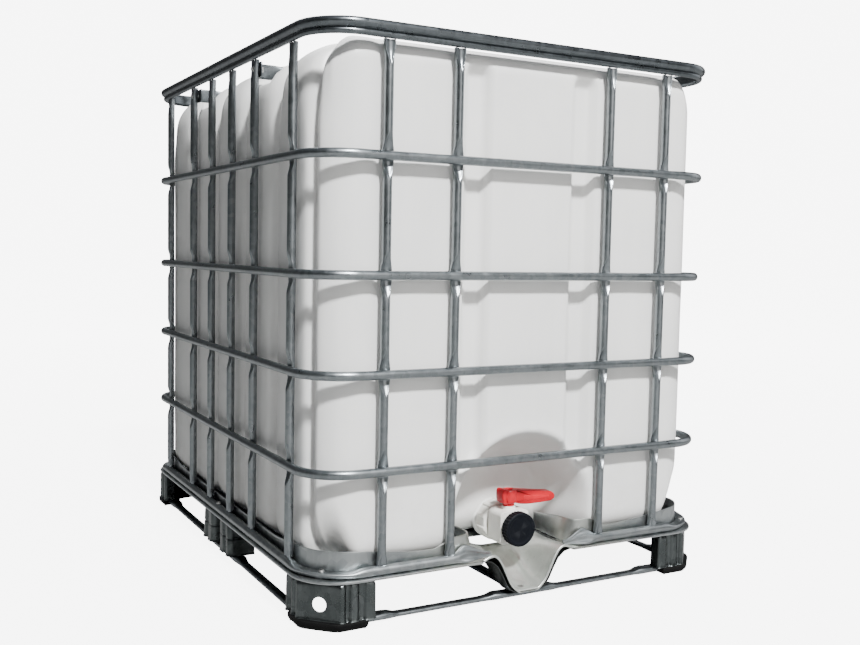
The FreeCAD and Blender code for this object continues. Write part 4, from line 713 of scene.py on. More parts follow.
def base_rail_section(x, y, bend_gap):
    """Round, flattened on top at the corner bolts and pressed to a leaf at the open ends."""
    from_bolt = math.hypot(abs(x) - BEND_MIDDLE[0], abs(y) - BEND_MIDDLE[1])
    flat = ease((86 - from_bolt) / 34.0)
    pressed = ease((182 - abs(x)) / 34.0) if y < -500 else 0.0
    tip = ease((158 - abs(x)) / 64.0) if y < -500 else 0.0
    outline = oval(10, 10, count=28)
    if flat > 0:
        outline[:, 0] *= 1 + 0.14 * flat
        top = outline[:, 1] > 0
        outline[top, 1] *= 1 - 0.62 * flat
        outline[top, 1] -= (0.8 * flat * np.exp(-((outline[:, 0] / 4.5) ** 2)))[top]
    if pressed > 0:
        # the leaf leans back, is creased along its length and narrows to a low tip
        lean, across = np.array([-0.60, 0.80]), np.array([0.80, 0.60])
        unit = outline / 10.0
        along_leaf, through = unit @ lean, unit @ across
        crease = 1.5 * np.cos(along_leaf * 7.0) * (through > 0) * (1 - 0.6 * tip)
        leaf = (along_leaf * (20.0 - 14.5 * tip))[:, None] * lean
        leaf = leaf + (through * 2.3 + crease)[:, None] * across
        leaf += (1.5, 8.5 - 8.0 * tip)
        outline = outline * (1 - pressed) + leaf * pressed
    outline[:, 1] = np.maximum(outline[:, 1], -9.9)
    return outline


rail = Shells()
rail.sweep_plan(BASE_X, BASE_Y, BASE_BEND, base_rail_section, 109.1,
                step=9.0, arc_steps=26, gap=92.0)
rail.make("cage_bottom_rail_tube", "cage_bottom_rail", "galvanised", BASE_STEEL)


# ------------------------------------------------------------------ bolts and nuts
def hexagon(turn):
    """Hexagon 10 mm across its flats, with softened corners."""
    radius = 5.0 / math.cos(math.pi / 6)
    angles = [math.pi / 3 * i + turn for i in range(6)]
    return round_poly([(radius * math.cos(a), radius * math.sin(a)) for a in angles], 0.8, 2)


def bolt(piece, at, axis, length, turn):
    """Flange bolt whose head bears at `at`, shank pointing back along -axis."""
    part = Shells()
    part.lathe([(0.01, 0), (6.4, 0), (6.5, 0.3), (6.5, 0.9), (5.9, 1.5), (4.0, 1.6)], segments=28)
    part.prism(hexagon(turn), 1.2, 4.0, bevel=0.7)
    part.lathe([(2.95, 0.4), (2.95, -length + 0.8), (2.3, -length)], segments=16)
    piece.add_turned(part, at, axis)


def nut(piece, at, axis, turn):
    """Flange nut that bears at `at` from the -axis side."""
    part = Shells()
    part.prism(hexagon(turn), -5.2, -0.9, bevel=0.7)
    part.lathe([(2.0, -1.4), (5.8, -1.3), (6.0, -0.9), (6.0, -0.2), (5.7, 0), (2.0, 0)],
               segments=28)
    piece.add_turned(part, at, axis)


# x, y, height under the head, shank length, height of the nut's face
RAIL_BOLTS = [(side_x * BEND_MIDDLE[0], side_y * BEND_MIDDLE[1], 112.6, 24, 94.7)
              for side_x, side_y in CORNERS]
RAIL_BOLTS += [(side * BASE_X, 0, 119.2, 30, 97.0) for side in (-1, 1)]

bolts, nuts = Shells(), Shells()
for i, (x, y, head_z, length, nut_z) in enumerate(RAIL_BOLTS):
    bolt(bolts, (x, y, head_z), (0, 0, 1), length, turn=0.3 * i)
    nut(nuts, (x, y, nut_z), (0, 0, 1), turn=0.2 * i)
bolts.make("rail_bolt_set", "rail_bolts", "fasteners", ZINC)
nuts.make("rail_nut_set", "rail_nuts", "fasteners", ZINC)

# ------------------------------------------------------------------ tray
SHEET_THICK = 1.4
TRAY_GAP = 113.0              # half width of the opening round the valve
TRAY_GAP_BACK = -445.0        # y where the opening ends
TRAY_FLOOR_Z = 102.0
WALL_INSET = 25.5
WALL_TURN = 38.0              # plan radius where the wall turns in beside the valve
# From the lip, over the flange, up the wall, over the hem and down inside to the floor:
# inset from the pallet's outline, corner radius, height, share of the wall's height.
# The height counts only where the share is 0.
TRAY_LAYERS = [
    (0.6, 99.4, 93.4, 0), (0.0, 100.0, 94.8, 0), (0.0, 100.0, 96.6, 0), (0.7, 99.3, 98.2, 0),
    (2.0, 98.0, 98.8, 0), (12.0, 97.5, 98.8, 0), (22.5, 97.0, 98.8, 0), (24.6, 96.4, 99.3, 0),
    (25.4, 96.0, 101.2, 0), (25.5, 96.0, 104.0, 0), (25.5, 96, 0, 0.3), (25.5, 96, 0, 0.6),
    (25.5, 96, 0, 0.86), (25.2, 96.3, 0, 0.95), (25.6, 96, 0, 1.0), (27.0, 94.6, 0, 1.015),
    (28.0, 93.6, 0, 0.97), (27.2, 94.3, 0, 0.9), (27.0, 94.5, 0, 0.5), (27.0, 94.5, 106.0, 0),
    (27.6, 94, 103.4, 0), (29.5, 92, 102.1, 0), (34.0, 90, 102.0, 0)]
# places among the layers of the wall's inner face, to match layers 8 to 16 of its outer face
WALL_INNER = np.array([19, 18.8, 18.6, 18.4, 18, 17.5, 17, 16.5, 16])


def rim_height(x, y):
    """The wall is tall round its corners, lower between them and raised beside the valve."""
    share = 1.0
    if abs(y) > 560:
        share = ease((abs(x) - 235.0) / 190.0)
    elif abs(x) > 460:
        share = ease((abs(y) - 330.0) / 190.0)
    lift = 19.0 * ease((222.0 - abs(x)) / 56.0) if y < -560 else 0.0
    return 131.0 + 16.6 * share + lift


def tray_loop(inset, radius, z, share):
    """One layer of the tray, from the right of the opening round to its left."""
    front = -(PALLET_Y - inset)
    plan = rounded_rect(PALLET_X - inset, PALLET_Y - inset, radius,
                        step=20.0, arc_steps=16, gap=TRAY_GAP)[0]

    def level(top):
        return np.where(share == 0, z, TRAY_FLOOR_Z + (top - TRAY_FLOOR_Z) * share)

    outer = np.c_[plan, level(np.array([rim_height(x, y) for x, y in plan]))]
    if inset > 20:
        # the wall turns in beside the valve and runs back along the opening
        shift = inset - WALL_INSET
        wall = []
        for i in range(9):
            angle = math.pi / 2 * i / 8
            wall.append((TRAY_GAP + WALL_TURN - WALL_TURN * math.sin(angle) + shift,
                         front + WALL_TURN - WALL_TURN * math.cos(angle)))
        wall += [(TRAY_GAP + shift, y)
                 for y in np.linspace(front + WALL_TURN + 12, TRAY_GAP_BACK, 7)]
        wall = np.array(wall)[::-1].copy()
        back = ease((wall[:, 1] - (front + 30)) / 100.0)
        # leans away from the opening at the front, upright at its back end
        wall[:, 0] += 11.0 * min(share, 1.0) ** 1.5 * (1 - back)
        right = np.c_[wall, level(150.0 - 9.0 * back)]
        clear = TRAY_GAP + WALL_TURN + 4
        outer = outer[(np.abs(outer[:, 0]) > clear) | (outer[:, 1] > -560)]
    else:
        right = np.array([(TRAY_GAP, y, z) for y in np.linspace(TRAY_GAP_BACK, front, 16)[:-1]])
    return np.r_[right, outer, right[::-1] * (-1, 1, 1)]


def tray_rim(piece):
    """Flange and wall, each a closed plate."""
    count = 520
    loops = [even_stations(tray_loop(*layer), count) for layer in TRAY_LAYERS]
    face = np.array(loops).transpose(1, 0, 2)
    normals = np.cross(np.gradient(face, axis=0), np.gradient(face, axis=1))
    normals /= np.linalg.norm(normals, axis=2)[:, :, None] + 1e-9
    sign = -1.0 if normals[count // 2, 5, 2] > 0 else 1.0
    under = face + normals * sign * SHEET_THICK
    piece.sheet(face[:, :10], under[:, :10])
    layer = WALL_INNER.astype(int)
    share = (WALL_INNER - layer)[:, None]
    inner = face[:, layer] * (1 - share) + face[:, layer + 1] * share
    piece.sheet(face[:, 8:17], inner)


def on_tray_floor(x, y):
    """Inside the rounded outline and outside the opening round the valve."""
    x_out, y_out = abs(x), abs(y)
    if x_out > 472.4 or y_out > 572.4:
        return False
    if x_out > 378 and y_out > 478 and math.hypot(x_out - 378, y_out - 478) > 95.5:
        return False
    return not (x_out < 112.5 and y < -441.5)


def floor_height(x, y):
    """Shallow beads pressed along y."""
    z = 101.9
    for centre in (-330, -165, 165, 330):
        z -= 1.2 * math.exp(-((x - centre) / 16.0) ** 2) * ease((520 - abs(y)) / 30.0)
    return z


def tray_floor(piece):
    xs = np.unique(np.round(np.r_[np.arange(-472, 473, 14.0), -TRAY_GAP, TRAY_GAP], 2))
    ys = np.unique(np.round(np.r_[np.arange(-572, 573, 14.0), -441], 2))
    index, verts, faces = {}, [], []
    for i in range(len(xs) - 1):
        for j in range(len(ys) - 1):
            cell = [(xs[i], ys[j]), (xs[i + 1], ys[j]), (xs[i + 1], ys[j + 1]), (xs[i], ys[j + 1])]
            if not all(on_tray_floor(*corner) for corner in cell):
                continue
            for corner in cell:
                if corner not in index:
                    index[corner] = len(verts)
                    verts.append((*corner, floor_height(*corner)))
            faces.append([index[corner] for corner in cell])
    count = len(verts)
    edges = [edge for face in faces for edge in zip(face, face[1:] + face[:1])]
    known = set(edges)
    under = [[i + count for i in face[::-1]] for face in faces]
    border = [(b, a, a + count, b + count) for a, b in edges if (b, a) not in known]
    piece.add(verts + [(x, y, z - SHEET_THICK) for x, y, z in verts], faces + under + border)


tray = Shells()
tray_rim(tray)
tray_floor(tray)
tray.make("pallet_tray_sheet", "pallet_tray", "pallet_steel", SHEET_STEEL, angle=40)

# ------------------------------------------------------------------ corner feet
# Outlines as (distance in from the pallet's side, distance in from its front or back).
CORNER_FLUTED = [
    (28, 130), (6.0, 130), (2.4, 126), (2.4, 119), (8.0, 114), (8.0, 102), (2.4, 97), (2.4, 91),
    (9.0, 86), (10.0, 81), (3.2, 76), (4.4, 68), (12.4, 62.2), (62.2, 12.4), (68, 4.4), (76, 3.2),
    (81, 10.0), (86, 9.0), (91, 2.4), (103, 2.4), (108, 8.0), (117, 8.0), (122, 2.4), (140, 2.4),
    (144, 6.0), (144, 30)]
CORNER_PLAIN = [(28, 130), (4.6, 130), (4.0, 92), (7.4, 72), (37.3, 37.3), (72, 7.4), (92, 4.0),
                (142, 4.0), (144, 30)]
CORNER_STATIONS = 230
FOOT_LOW_Z = 18.4
FOOT_SKIN = 2.0
HOLE_CENTRE, HOLE_R = np.array([37.3, 37.3, 50.0]), 14.5
# directions at the slanted face: along it, and in towards the pallet's middle
SLANT_ALONG, SLANT_IN = np.array([1, -1, 0]) / math.sqrt(2), np.array([1, 1, 0]) / math.sqrt(2)


def at_corner(side_x, side_y):
    """Placing function from corner outlines to one corner of the pallet."""
    return lambda points: (points - (PALLET_X, PALLET_Y, 0)) * (-side_x, -side_y, 1)


def corner_skin():
    """Outer and inner grids of the fluted skin, with the stations that bound its slanted face."""
    count = CORNER_STATIONS
    fluted = even_line(CORNER_FLUTED, count, 2.4)
    plain = even_line(CORNER_PLAIN, count, 14.0)
    normals = inward_normals(fluted, count // 2, (80, 80))
    first, last = [int(np.argmin(np.linalg.norm(fluted - end, axis=1)))
                   for end in ((10.6, 64.0), (64.0, 10.6))]
    heights = np.r_[FOOT_LOW_Z, 20.0, 23.5, 28.0, np.linspace(33, 84, 15),
                    88.5, 91.8, 94.2, 95.6, 96.3]
    insets = np.interp(heights, [FOOT_LOW_Z, 20, 23.5, 28, 84, 88.5, 91.8, 94.2, 95.6, 96.3],
                       [-0.4, 0.6, 1.6, 2.0, 2.4, 2.8, 4.0, 6.0, 8.8, 12.0])
    flutes = np.interp(heights, [FOOT_LOW_Z, 28, 84, 93, 96.3], [0.8, 1.0, 1.0, 0.6, 0.2])
    outer, inner = [], []
    for z, inset, flute in zip(heights, insets, flutes):
        line = fluted * flute + plain * (1 - flute)
        dent = 0.175 * ripple(fluted[:, 0] / 9.0, z / 9.0, 5)
        for rows, offset in ((outer, -1.6), (inner, FOOT_SKIN - 1.6)):
            rows.append(np.c_[line + normals * (inset + offset + dent)[:, None],
                              np.full(count, z)])
    return np.array(outer), np.array(inner), first, last


def corner_skin_mesh(piece):
    """Skin of the foot with the round hole in its slanted face."""
    outer, inner, first, last = corner_skin()
    rows, cols = outer.shape[:2]
    # cells that touch the hole are left out
    away = np.full((rows, cols), 1e3)
    slanted = outer[:, first:last + 1] - HOLE_CENTRE
    away[:, first:last + 1] = np.hypot(slanted @ SLANT_ALONG, slanted[:, :, 2])
    hole = np.minimum.reduce([away[:-1, :-1], away[1:, :-1], away[:-1, 1:], away[1:, 1:]])
    hole = hole < HOLE_R + 0.4
    verts = list(np.concatenate([outer.reshape(-1, 3), inner.reshape(-1, 3)]))
    under = rows * cols           # step from an outer vertex to the inner one behind it
    index = np.arange(under).reshape(rows, cols)
    faces, hole_edges = [], {}
    for i in range(rows - 1):
        for j in range(cols - 1):
            quad = (index[i, j], index[i, j + 1], index[i + 1, j + 1], index[i + 1, j])
            if not hole[i, j]:
                faces += [quad, tuple(k + under for k in quad[::-1])]
                continue
            neighbours = ((i - 1, j), (i, j + 1), (i + 1, j), (i, j - 1))
            for start, end, cell in zip(quad, quad[1:] + quad[:1], neighbours):
                if not hole[cell]:
                    hole_edges[start] = end
    # outer border of the sheet
    for i in range(rows - 1):
        for j in (0, cols - 1):
            low, high = index[i, j], index[i + 1, j]
            faces.append((low, high, high + under, low + under))
    for j in range(cols - 1):
        for i in (0, rows - 1):
            near, far = index[i, j], index[i, j + 1]
            faces.append((near, far, far + under, near + under))
    # the hole's ragged edge is joined to a circle on both faces, then through the sheet
    rim = {}
    for start in hole_edges:
        offset = verts[start] - HOLE_CENTRE
        along, rise, depth = offset @ SLANT_ALONG, offset[2], offset @ SLANT_IN
        pull = HOLE_R / math.hypot(along, rise)
        rim[start] = len(verts)
        for through in (0.0, FOOT_SKIN):
            verts.append(HOLE_CENTRE + SLANT_ALONG * along * pull
                         + np.array([0, 0, rise * pull]) + SLANT_IN * (depth + through))
    for start, end in hole_edges.items():
        rim_start, rim_end = rim[start], rim[end]
        faces += [(start, end, rim_end, rim_start),
                  (start + under, rim_start + 1, rim_end + 1, end + under),
                  (rim_start, rim_end, rim_end + 1, rim_start + 1)]
    piece.add(verts, faces)


def corner_foot(name, side_x, side_y):
    """Fluted foot with a rounded shoulder, top plate, lower lip and a hole in its slant."""
    piece = Shells()
    corner_skin_mesh(piece)
    plain = even_line(CORNER_PLAIN, CORNER_STATIONS, 14.0)
    normals = inward_normals(plain, CORNER_STATIONS // 2, (80, 80))
    # top plate inside the skin, its points put in order round the middle
    plate = np.r_[plain[::6] + normals[::6] * 9.0, [(140, 60), (140, 126), (60, 126)]]
    plate = plate[np.argsort(-np.arctan2(plate[:, 1] - 85, plate[:, 0] - 85))]
    piece.prism(plate, 94.6, 96.6, bevel=0.5)
    # narrow lip turned in along the lower edge
    low, high = [np.stack([np.c_[plain + normals * inset, np.full(CORNER_STATIONS, z)]
                           for inset in (1.4, 15.0)], 1) for z in (FOOT_LOW_Z, 20.2)]
    piece.sheet(low, high)
    piece.move(at_corner(side_x, side_y))
    piece.make(name + "_drawn", name, "pallet_steel", FOOT_STEEL, angle=38)


for name, signs in zip(("front_left", "front_right", "rear_left", "rear_right"), CORNERS):
    corner_foot("foot_" + name, *signs)

# ------------------------------------------------------------------ middle feet
MID_HALF = 97.0
# Left half of the outline as (along the pallet's edge, depth in from it); the right mirrors it.
MID_LEFT = [
    (-MID_HALF, 66), (-MID_HALF + 1, 12), (-MID_HALF + 6, 4), (-MID_HALF + 20, 3.6),
    (-MID_HALF + 25, 8.5), (-MID_HALF + 36, 8.5), (-MID_HALF + 41, 3.6), (-33, 3.6), (-26, 9),
    (-21, 36)]
MID_OUTLINE = MID_LEFT + [(-x, y) for x, y in MID_LEFT[::-1]]
# name, which axis goes to x, y and z, signs, origin
MID_FEET = [("foot_mid_left", [1, 0, 2], (1, 1, 1), (-PALLET_X, 0, 0)),
            ("foot_mid_right", [1, 0, 2], (-1, 1, 1), (PALLET_X, 0, 0)),
            ("foot_mid_rear", [0, 1, 2], (1, -1, 1), (0, PALLET_Y, 0))]


def mid_foot(name, order, signs, origin):
    """Two fluted lobes with a deep recess between them and a level seam, wider at the skid."""
    piece = Shells()
    count = 190
    line = even_line(MID_OUTLINE, count, 4.0)
    normals = inward_normals(line, count // 4, (line[count // 4, 0], 80))
    heights = np.r_[FOOT_LOW_Z, 20.0, 23.0, 27.0, np.linspace(32, 54, 7), 56.2, 57.6, 59.0, 60.4,
                    np.linspace(64, 84, 6), 88.5, 91.8, 94.4, 96.2]
    insets = np.interp(heights, [FOOT_LOW_Z, 20, 23, 27, 84, 88.5, 91.8, 94.4, 96.2],
                       [-1.0, 0.0, 0.8, 1.2, 1.6, 2.2, 3.4, 5.4, 8.6])
    seams = 1.6 * np.exp(-((heights - 58.3) / 1.7) ** 2)
    faces = []
    for offset in (-FOOT_SKIN / 2, FOOT_SKIN / 2):
        rows = []
        for z, inset, seam in zip(heights, insets, seams):
            flare = 1 + 0.085 * (1 - (z - FOOT_LOW_Z) / 78.0)
            rows.append(np.c_[line * (flare, 1) + normals * (inset + offset + seam),
                              np.full(count, z)])
        faces.append(np.array(rows).transpose(1, 0, 2))
    piece.sheet(*faces)
    # top and bottom plates
    for low, high, share in ((94.2, 96.4, 0.90), (FOOT_LOW_Z, 20.4, 1.05)):
        half = MID_HALF * share
        plate = [(-half, 64), (-half, 14), (-30, 14), (-26, 40),
                 (26, 40), (30, 14), (half, 14), (half, 64)]
        piece.prism(round_poly(plate, 4, 3), low, high, bevel=0.5)
    piece.move(lambda points: points[:, order] * signs + origin)
    piece.make(name + "_drawn", name, "pallet_steel", FOOT_STEEL, angle=38)


for mid in MID_FEET:
    mid_foot(*mid)

# ------------------------------------------------------------------ foot pads
# outline as for the corner feet, with a radius for each corner
PAD_OUTLINE = round_poly([(2, 116), (1.2, 66), (9, 52), (52, 9), (66, 1.2), (128, 2), (128, 44),
                          (96, 52), (58, 62), (50, 112)], [4, 6, 7, 7, 6, 4, 4, 4, 6, 4])
# height, inset
PAD_ROWS = [(0.0, 7.0), (0.6, 6.0), (5.5, 1.6), (8.0, 0.5), (11.0, 0.0), (16.4, 0.0),
            (17.5, 0.6), (17.9, 1.6)]

pads = Shells()
for side_x in (-1, 1):
    for side_y in (-1, 1):
        pads.layers(PAD_OUTLINE, PAD_ROWS, at_corner(side_x, side_y))
pads.make("foot_pad_set", "foot_pads", "black_plastic", PAD_BLACK)


# ------------------------------------------------------------------ skids
def under_foot(x, y):
    """1 where a foot stands on the skid ring, 0 in mid span."""
    share = ease((abs(x) - 300) / 45.0) * ease((abs(y) - 420) / 45.0)
    if abs(y) > 540:
        reach = 95 if y < 0 else 135
        share = max(share, ease((reach - abs(x)) / 45.0))
    if abs(x) > 445:
        share = max(share, ease((138 - abs(y)) / 45.0))
    return share


def skid_section(x, y, bend_gap):
    """Flat oval, larger under the feet, with a kink on the way between the two sizes."""
    foot = under_foot(x, y)
    kink = 4 * foot * (1 - foot)
    outline = oval((20.5 + 9.5 * foot + 1.5 * kink) / 2,
                   (10.0 + 3.8 * foot + 4.2 * kink) / 2, power=0.7)
    outline[:, 1] += -2.3 + 2.2 * foot + 1.2 * kink
    outline[:, 1] = np.clip(outline[:, 1], -7.4, 7.0 + 2.0 * kink)
    return outline


skid = Shells()
skid.sweep_plan(469, 568, 64, skid_section, SKID_Z, step=14.0)
skid.make("skid_ring_tube", "skid_ring", "pallet_steel", TUBE_STEEL)


def centre_skid():
    """Front-to-back tube, larger at its ends and middle, with thinned tips."""
    piece = Shells()
    rows = []
    for y in np.unique(np.round(np.r_[np.linspace(-550.5, 550.5, 60), -549, 549], 2)):
        foot = max(ease((abs(y) - 480) / 40.0), ease((90 - abs(y)) / 40.0))
        tip = ease((abs(y) - 520) / 28.0)
        outline = oval((25.5 + 3.8 * foot) / 2, (12.8 + 1.1 * foot - 5.5 * tip) / 2, power=0.7)
        rows.append(np.c_[outline[:, 0], np.full(len(outline), y),
                          SKID_Z + outline[:, 1] + 2.4 * tip])
    piece.grid(np.array(rows))
    piece.make("centre_skid_tube", "centre_skid", "pallet_steel", TUBE_STEEL)


centre_skid()

# radius, height
RIVET_PROFILE = [(0.01, 22.9), (2.0, 22.7), (4.6, 22.0), (6.6, 21.0), (7.4, 20.5), (3.9, 20.4),
                 (3.9, 14.8), (5.2, 14.6), (5.0, 13.6), (0.01, 13.4)]
# x, y
RIVETS = [(-469, -500), (469, -500), (-469, 500), (469, 500), (-469, 60), (469, 60), (60, 566),
          (0, 20), (0, -566)]

rivets = Shells()
for x, y in RIVETS:
    rivets.lathe(RIVET_PROFILE, at=(x, y, 0), segments=24)
rivets.make("skid_rivet_set", "skid_rivets", "fasteners", ZINC)

# ------------------------------------------------------------------ valve foot
# half section of the trough: distance from the middle, share of the wall's height
TROUGH_X = np.arange(0, 113.1, 1.0)
TROUGH_SHARE = np.interp(TROUGH_X, [0, 18, 24, 30, 42, 48, 57, 67, 76, 86, 98, 113],
                         [0, 0.0, 0.02, 0.07, 0.20, 0.32, 0.53, 0.77, 0.92, 1.0, 0.985, 0.91])
TROUGH_SHARE = np.convolve(np.pad(TROUGH_SHARE, 4, mode="edge"), np.ones(9) / 9.0, mode="valid")
# beads pressed along the trough: distance from the middle, half width, height
TROUGH_BEADS = ((33.0, 5.0, 3.4), (0.0, 15.0, -1.8), (60.0, 6.0, 2.4))
# skirt outside each wall, from under the flange down to the skid: distance out, height
SKIRT = [(108.0, 95.6), (92.0, 92.0), (77.0, 80.0), (64.0, 58.0), (54.0, 38.0), (44.0, 26.0),
         (30.0, 19.2)]


def trough_grid():
    """Middle surface of the trough, from its mouth at the front back to the tray's opening."""
    x = np.linspace(-1, 1, 97) * 112.5
    out = np.abs(x)
    share = np.interp(out, TROUGH_X, TROUGH_SHARE)
    rows = []
    for back in np.r_[np.linspace(0, 0.12, 7), np.linspace(0.15, 1, 34)]:
        bottom = 18.5 + 62.0 * ease((back - 0.10) / 0.95)
        crest = 105.0 - 6.0 * ease((back - 0.15) / 0.5)
        z = bottom + (crest - bottom) * share
        pressed = ease((back - 0.04) / 0.1) * ease((0.82 - back) / 0.2)
        for centre, width, height in TROUGH_BEADS:
            z = z + height * pressed * np.exp(-((out - centre) / width) ** 2)
        rows.append(np.c_[x, np.full(len(x), -597.0 + back * 156.0), z])
    return np.array(rows)


def trough_skirt(piece, side):
    rows = []
    for out, z in SKIRT:
        back = -528.0 - 26.0 * (1 - (z - 19.0) / 77.0)
        rows.append([(side * (out + 5.0 * math.sin(math.pi * i / 13.0)), y, z)
                     for i, y in enumerate(np.linspace(-594.5, back, 14))])
    rows = np.array(rows)
    # slot 1 holds the dark steel that paints shade on the skirt
    piece.sheet(rows, rows + np.array([-side * 1.1, 0, 0.9]), slot=1)


def valve_foot():
    piece = Shells()
    trough = trough_grid()
    normals = np.cross(np.gradient(trough, axis=1), np.gradient(trough, axis=0))
    normals /= np.linalg.norm(normals, axis=2)[:, :, None]
    if normals[5, 48, 2] < 0:
        normals = -normals
    top = trough + normals * 0.2
    low = trough - normals * 1.8
    low[..., 2] = np.maximum(low[..., 2], 18.25)
    piece.sheet(top.transpose(1, 0, 2), low.transpose(1, 0, 2))
    # rolled rim round the mouth
    rim = trough[0].copy()
    rim[:, 1] = -594.2
    rim[:, 2] = np.maximum(rim[:, 2] - 0.3, 21.6)
    piece.tube(rim, 2.9, count=14, up=(0, 1, 0))
    for side in (-1, 1):
        trough_skirt(piece, side)
    # plate under the foot for the rivet
    plate = round_poly([(-27, -594), (27, -594), (27, -538), (-27, -538)], 4, 3)
    piece.prism(plate, 18.3, 20.3, bevel=0.6)
    piece.make("valve_foot_pressing", "valve_foot", "pallet_steel", TROUGH_STEEL, PAINTED_SHADE_STEEL,
               angle=50)


valve_foot()


# ------------------------------------------------------------------ top crossbars
def crossbar(name, side):
    """Round bar flattened to upright blades at its ends; side is -1 in front, 1 at the rear."""
    piece = Shells()
    bar_y = side * CROSSBAR_Y
    end = np.linspace(380, 471.5, 26)
    rise = np.sin(np.linspace(0, 2 * math.pi, 28, endpoint=False))
    rows = []
    for x in np.unique(np.round(np.r_[-end[::-1], np.linspace(-360, 360, 13), end], 2)):
        flat = ease((abs(x) - 385) / 55.0)
        outline = oval(10 * (1 - flat) + 1.9 * flat, 10 * (1 - flat) + 16.4 * flat,
                       power=1 - 0.35 * flat, count=28)
        z = CROSSBAR_Z + outline[:, 1] + 0.8 * flat * np.cos(rise * 3)
        rows.append(np.c_[np.full(28, x), bar_y + outline[:, 0], np.clip(z, 1091.6, 1124.4)])
    piece.grid(np.array(rows))
    near, far = bar_y - side * 12, bar_y + side * 33
    tab = round_poly([(near, 1092), (far, 1092), (far, 1124), (near, 1124)], 6)
    for side_x in (-1, 1):
        # tab turned flat against the upright
        piece.prism(tab, 472.9, 475.7, bevel=0.7,
                    place=lambda points: points[..., [2, 0, 1]] * (side_x, 1, 1))
        # bend between blade and tab
        path = []
        for i in range(7):
            angle = math.pi / 2 * i / 6
            path.append((side_x * (468.4 + 5.0 * math.sin(angle)),
                         bar_y + side * 4.5 * (1 - math.cos(angle)), CROSSBAR_Z))
        piece.tube(path, (1.7, 15.6), count=20)
    piece.make(name + "_bar", name, "galvanised", RAIL_STEEL)


crossbar("top_crossbar_front", -1)
crossbar("top_crossbar_rear", 1)

bolts, nuts = Shells(), Shells()
for i, (side_x, side_y) in enumerate(CORNERS):
    y = side_y * CROSSBAR_BOLT_Y
    bolt(bolts, (side_x * 488.6, y, CROSSBAR_Z), (side_x, 0, 0), 20, turn=0.25 * i)
    nut(nuts, (side_x * 472.4, y, CROSSBAR_Z), (side_x, 0, 0), turn=0.3 * i)
bolts.make("crossbar_bolt_set", "crossbar_bolts", "fasteners", ZINC)
nuts.make("crossbar_nut_set", "crossbar_nuts", "fasteners", ZINC)

# ------------------------------------------------------------------ bottle
BOTTLE_X, BOTTLE_Y, BOTTLE_BEND = 470.5, 570.5, 92.0
BOTTLE_LOW = 102.4
SHOULDER = 95.0               # height taken by the rounded shoulder
NOTCH_DROP = 24.0             # how far the side notches sink the shoulder's edge
THREAD_HEIGHTS = (1099.5, 1106.5, 1113.5)
# neck from its foot, over the rim and down inside: radius, height; threads go between the two
NECK_FOOT = [(79.0, 1093.6), (76.4, 1094.4), (75.4, 1096.2), (75.2, 1098.2)]
NECK_RIM = [(75.0, 1120.8), (74.2, 1121.9), (71.0, 1122.0), (70.1, 1121.2), (70.0, 1110.0),
            (70.0, 1092.0), (70.0, 1070.0), (69.0, 1052.0), (60.0, 1046.0), (30.0, 1044.0)]
# radius, distance in front of the middle
SPOUT = [(0.01, 432), (46.0, 434), (46.0, 438.5), (42.0, 441.0), (36.5, 443.2), (32.6, 446.2),
         (30.6, 450.0), (30.0, 453.0), (30.0, 469.2), (29.2, 470.0), (23.0, 470.0), (22.0, 469.0),
         (22.0, 446.0), (0.01, 445.0)]


def ridge(t):
    return np.exp(-np.abs(t) ** 1.35)


def bottle_roof(x, y):
    """Height of the bottle's top: a round well for the neck and a trough under each crossbar."""
    well = 43.6 * ease((146.0 - np.hypot(x, y)) / 24.0)
    trough = 58.4 * ease((58.0 - np.abs(np.abs(y) - 217.0)) / 19.0)
    return BOTTLE_TOP - 1.1 - np.maximum(well, trough) + 0.4 * ripple(x / 120.0, y / 120.0, 12)


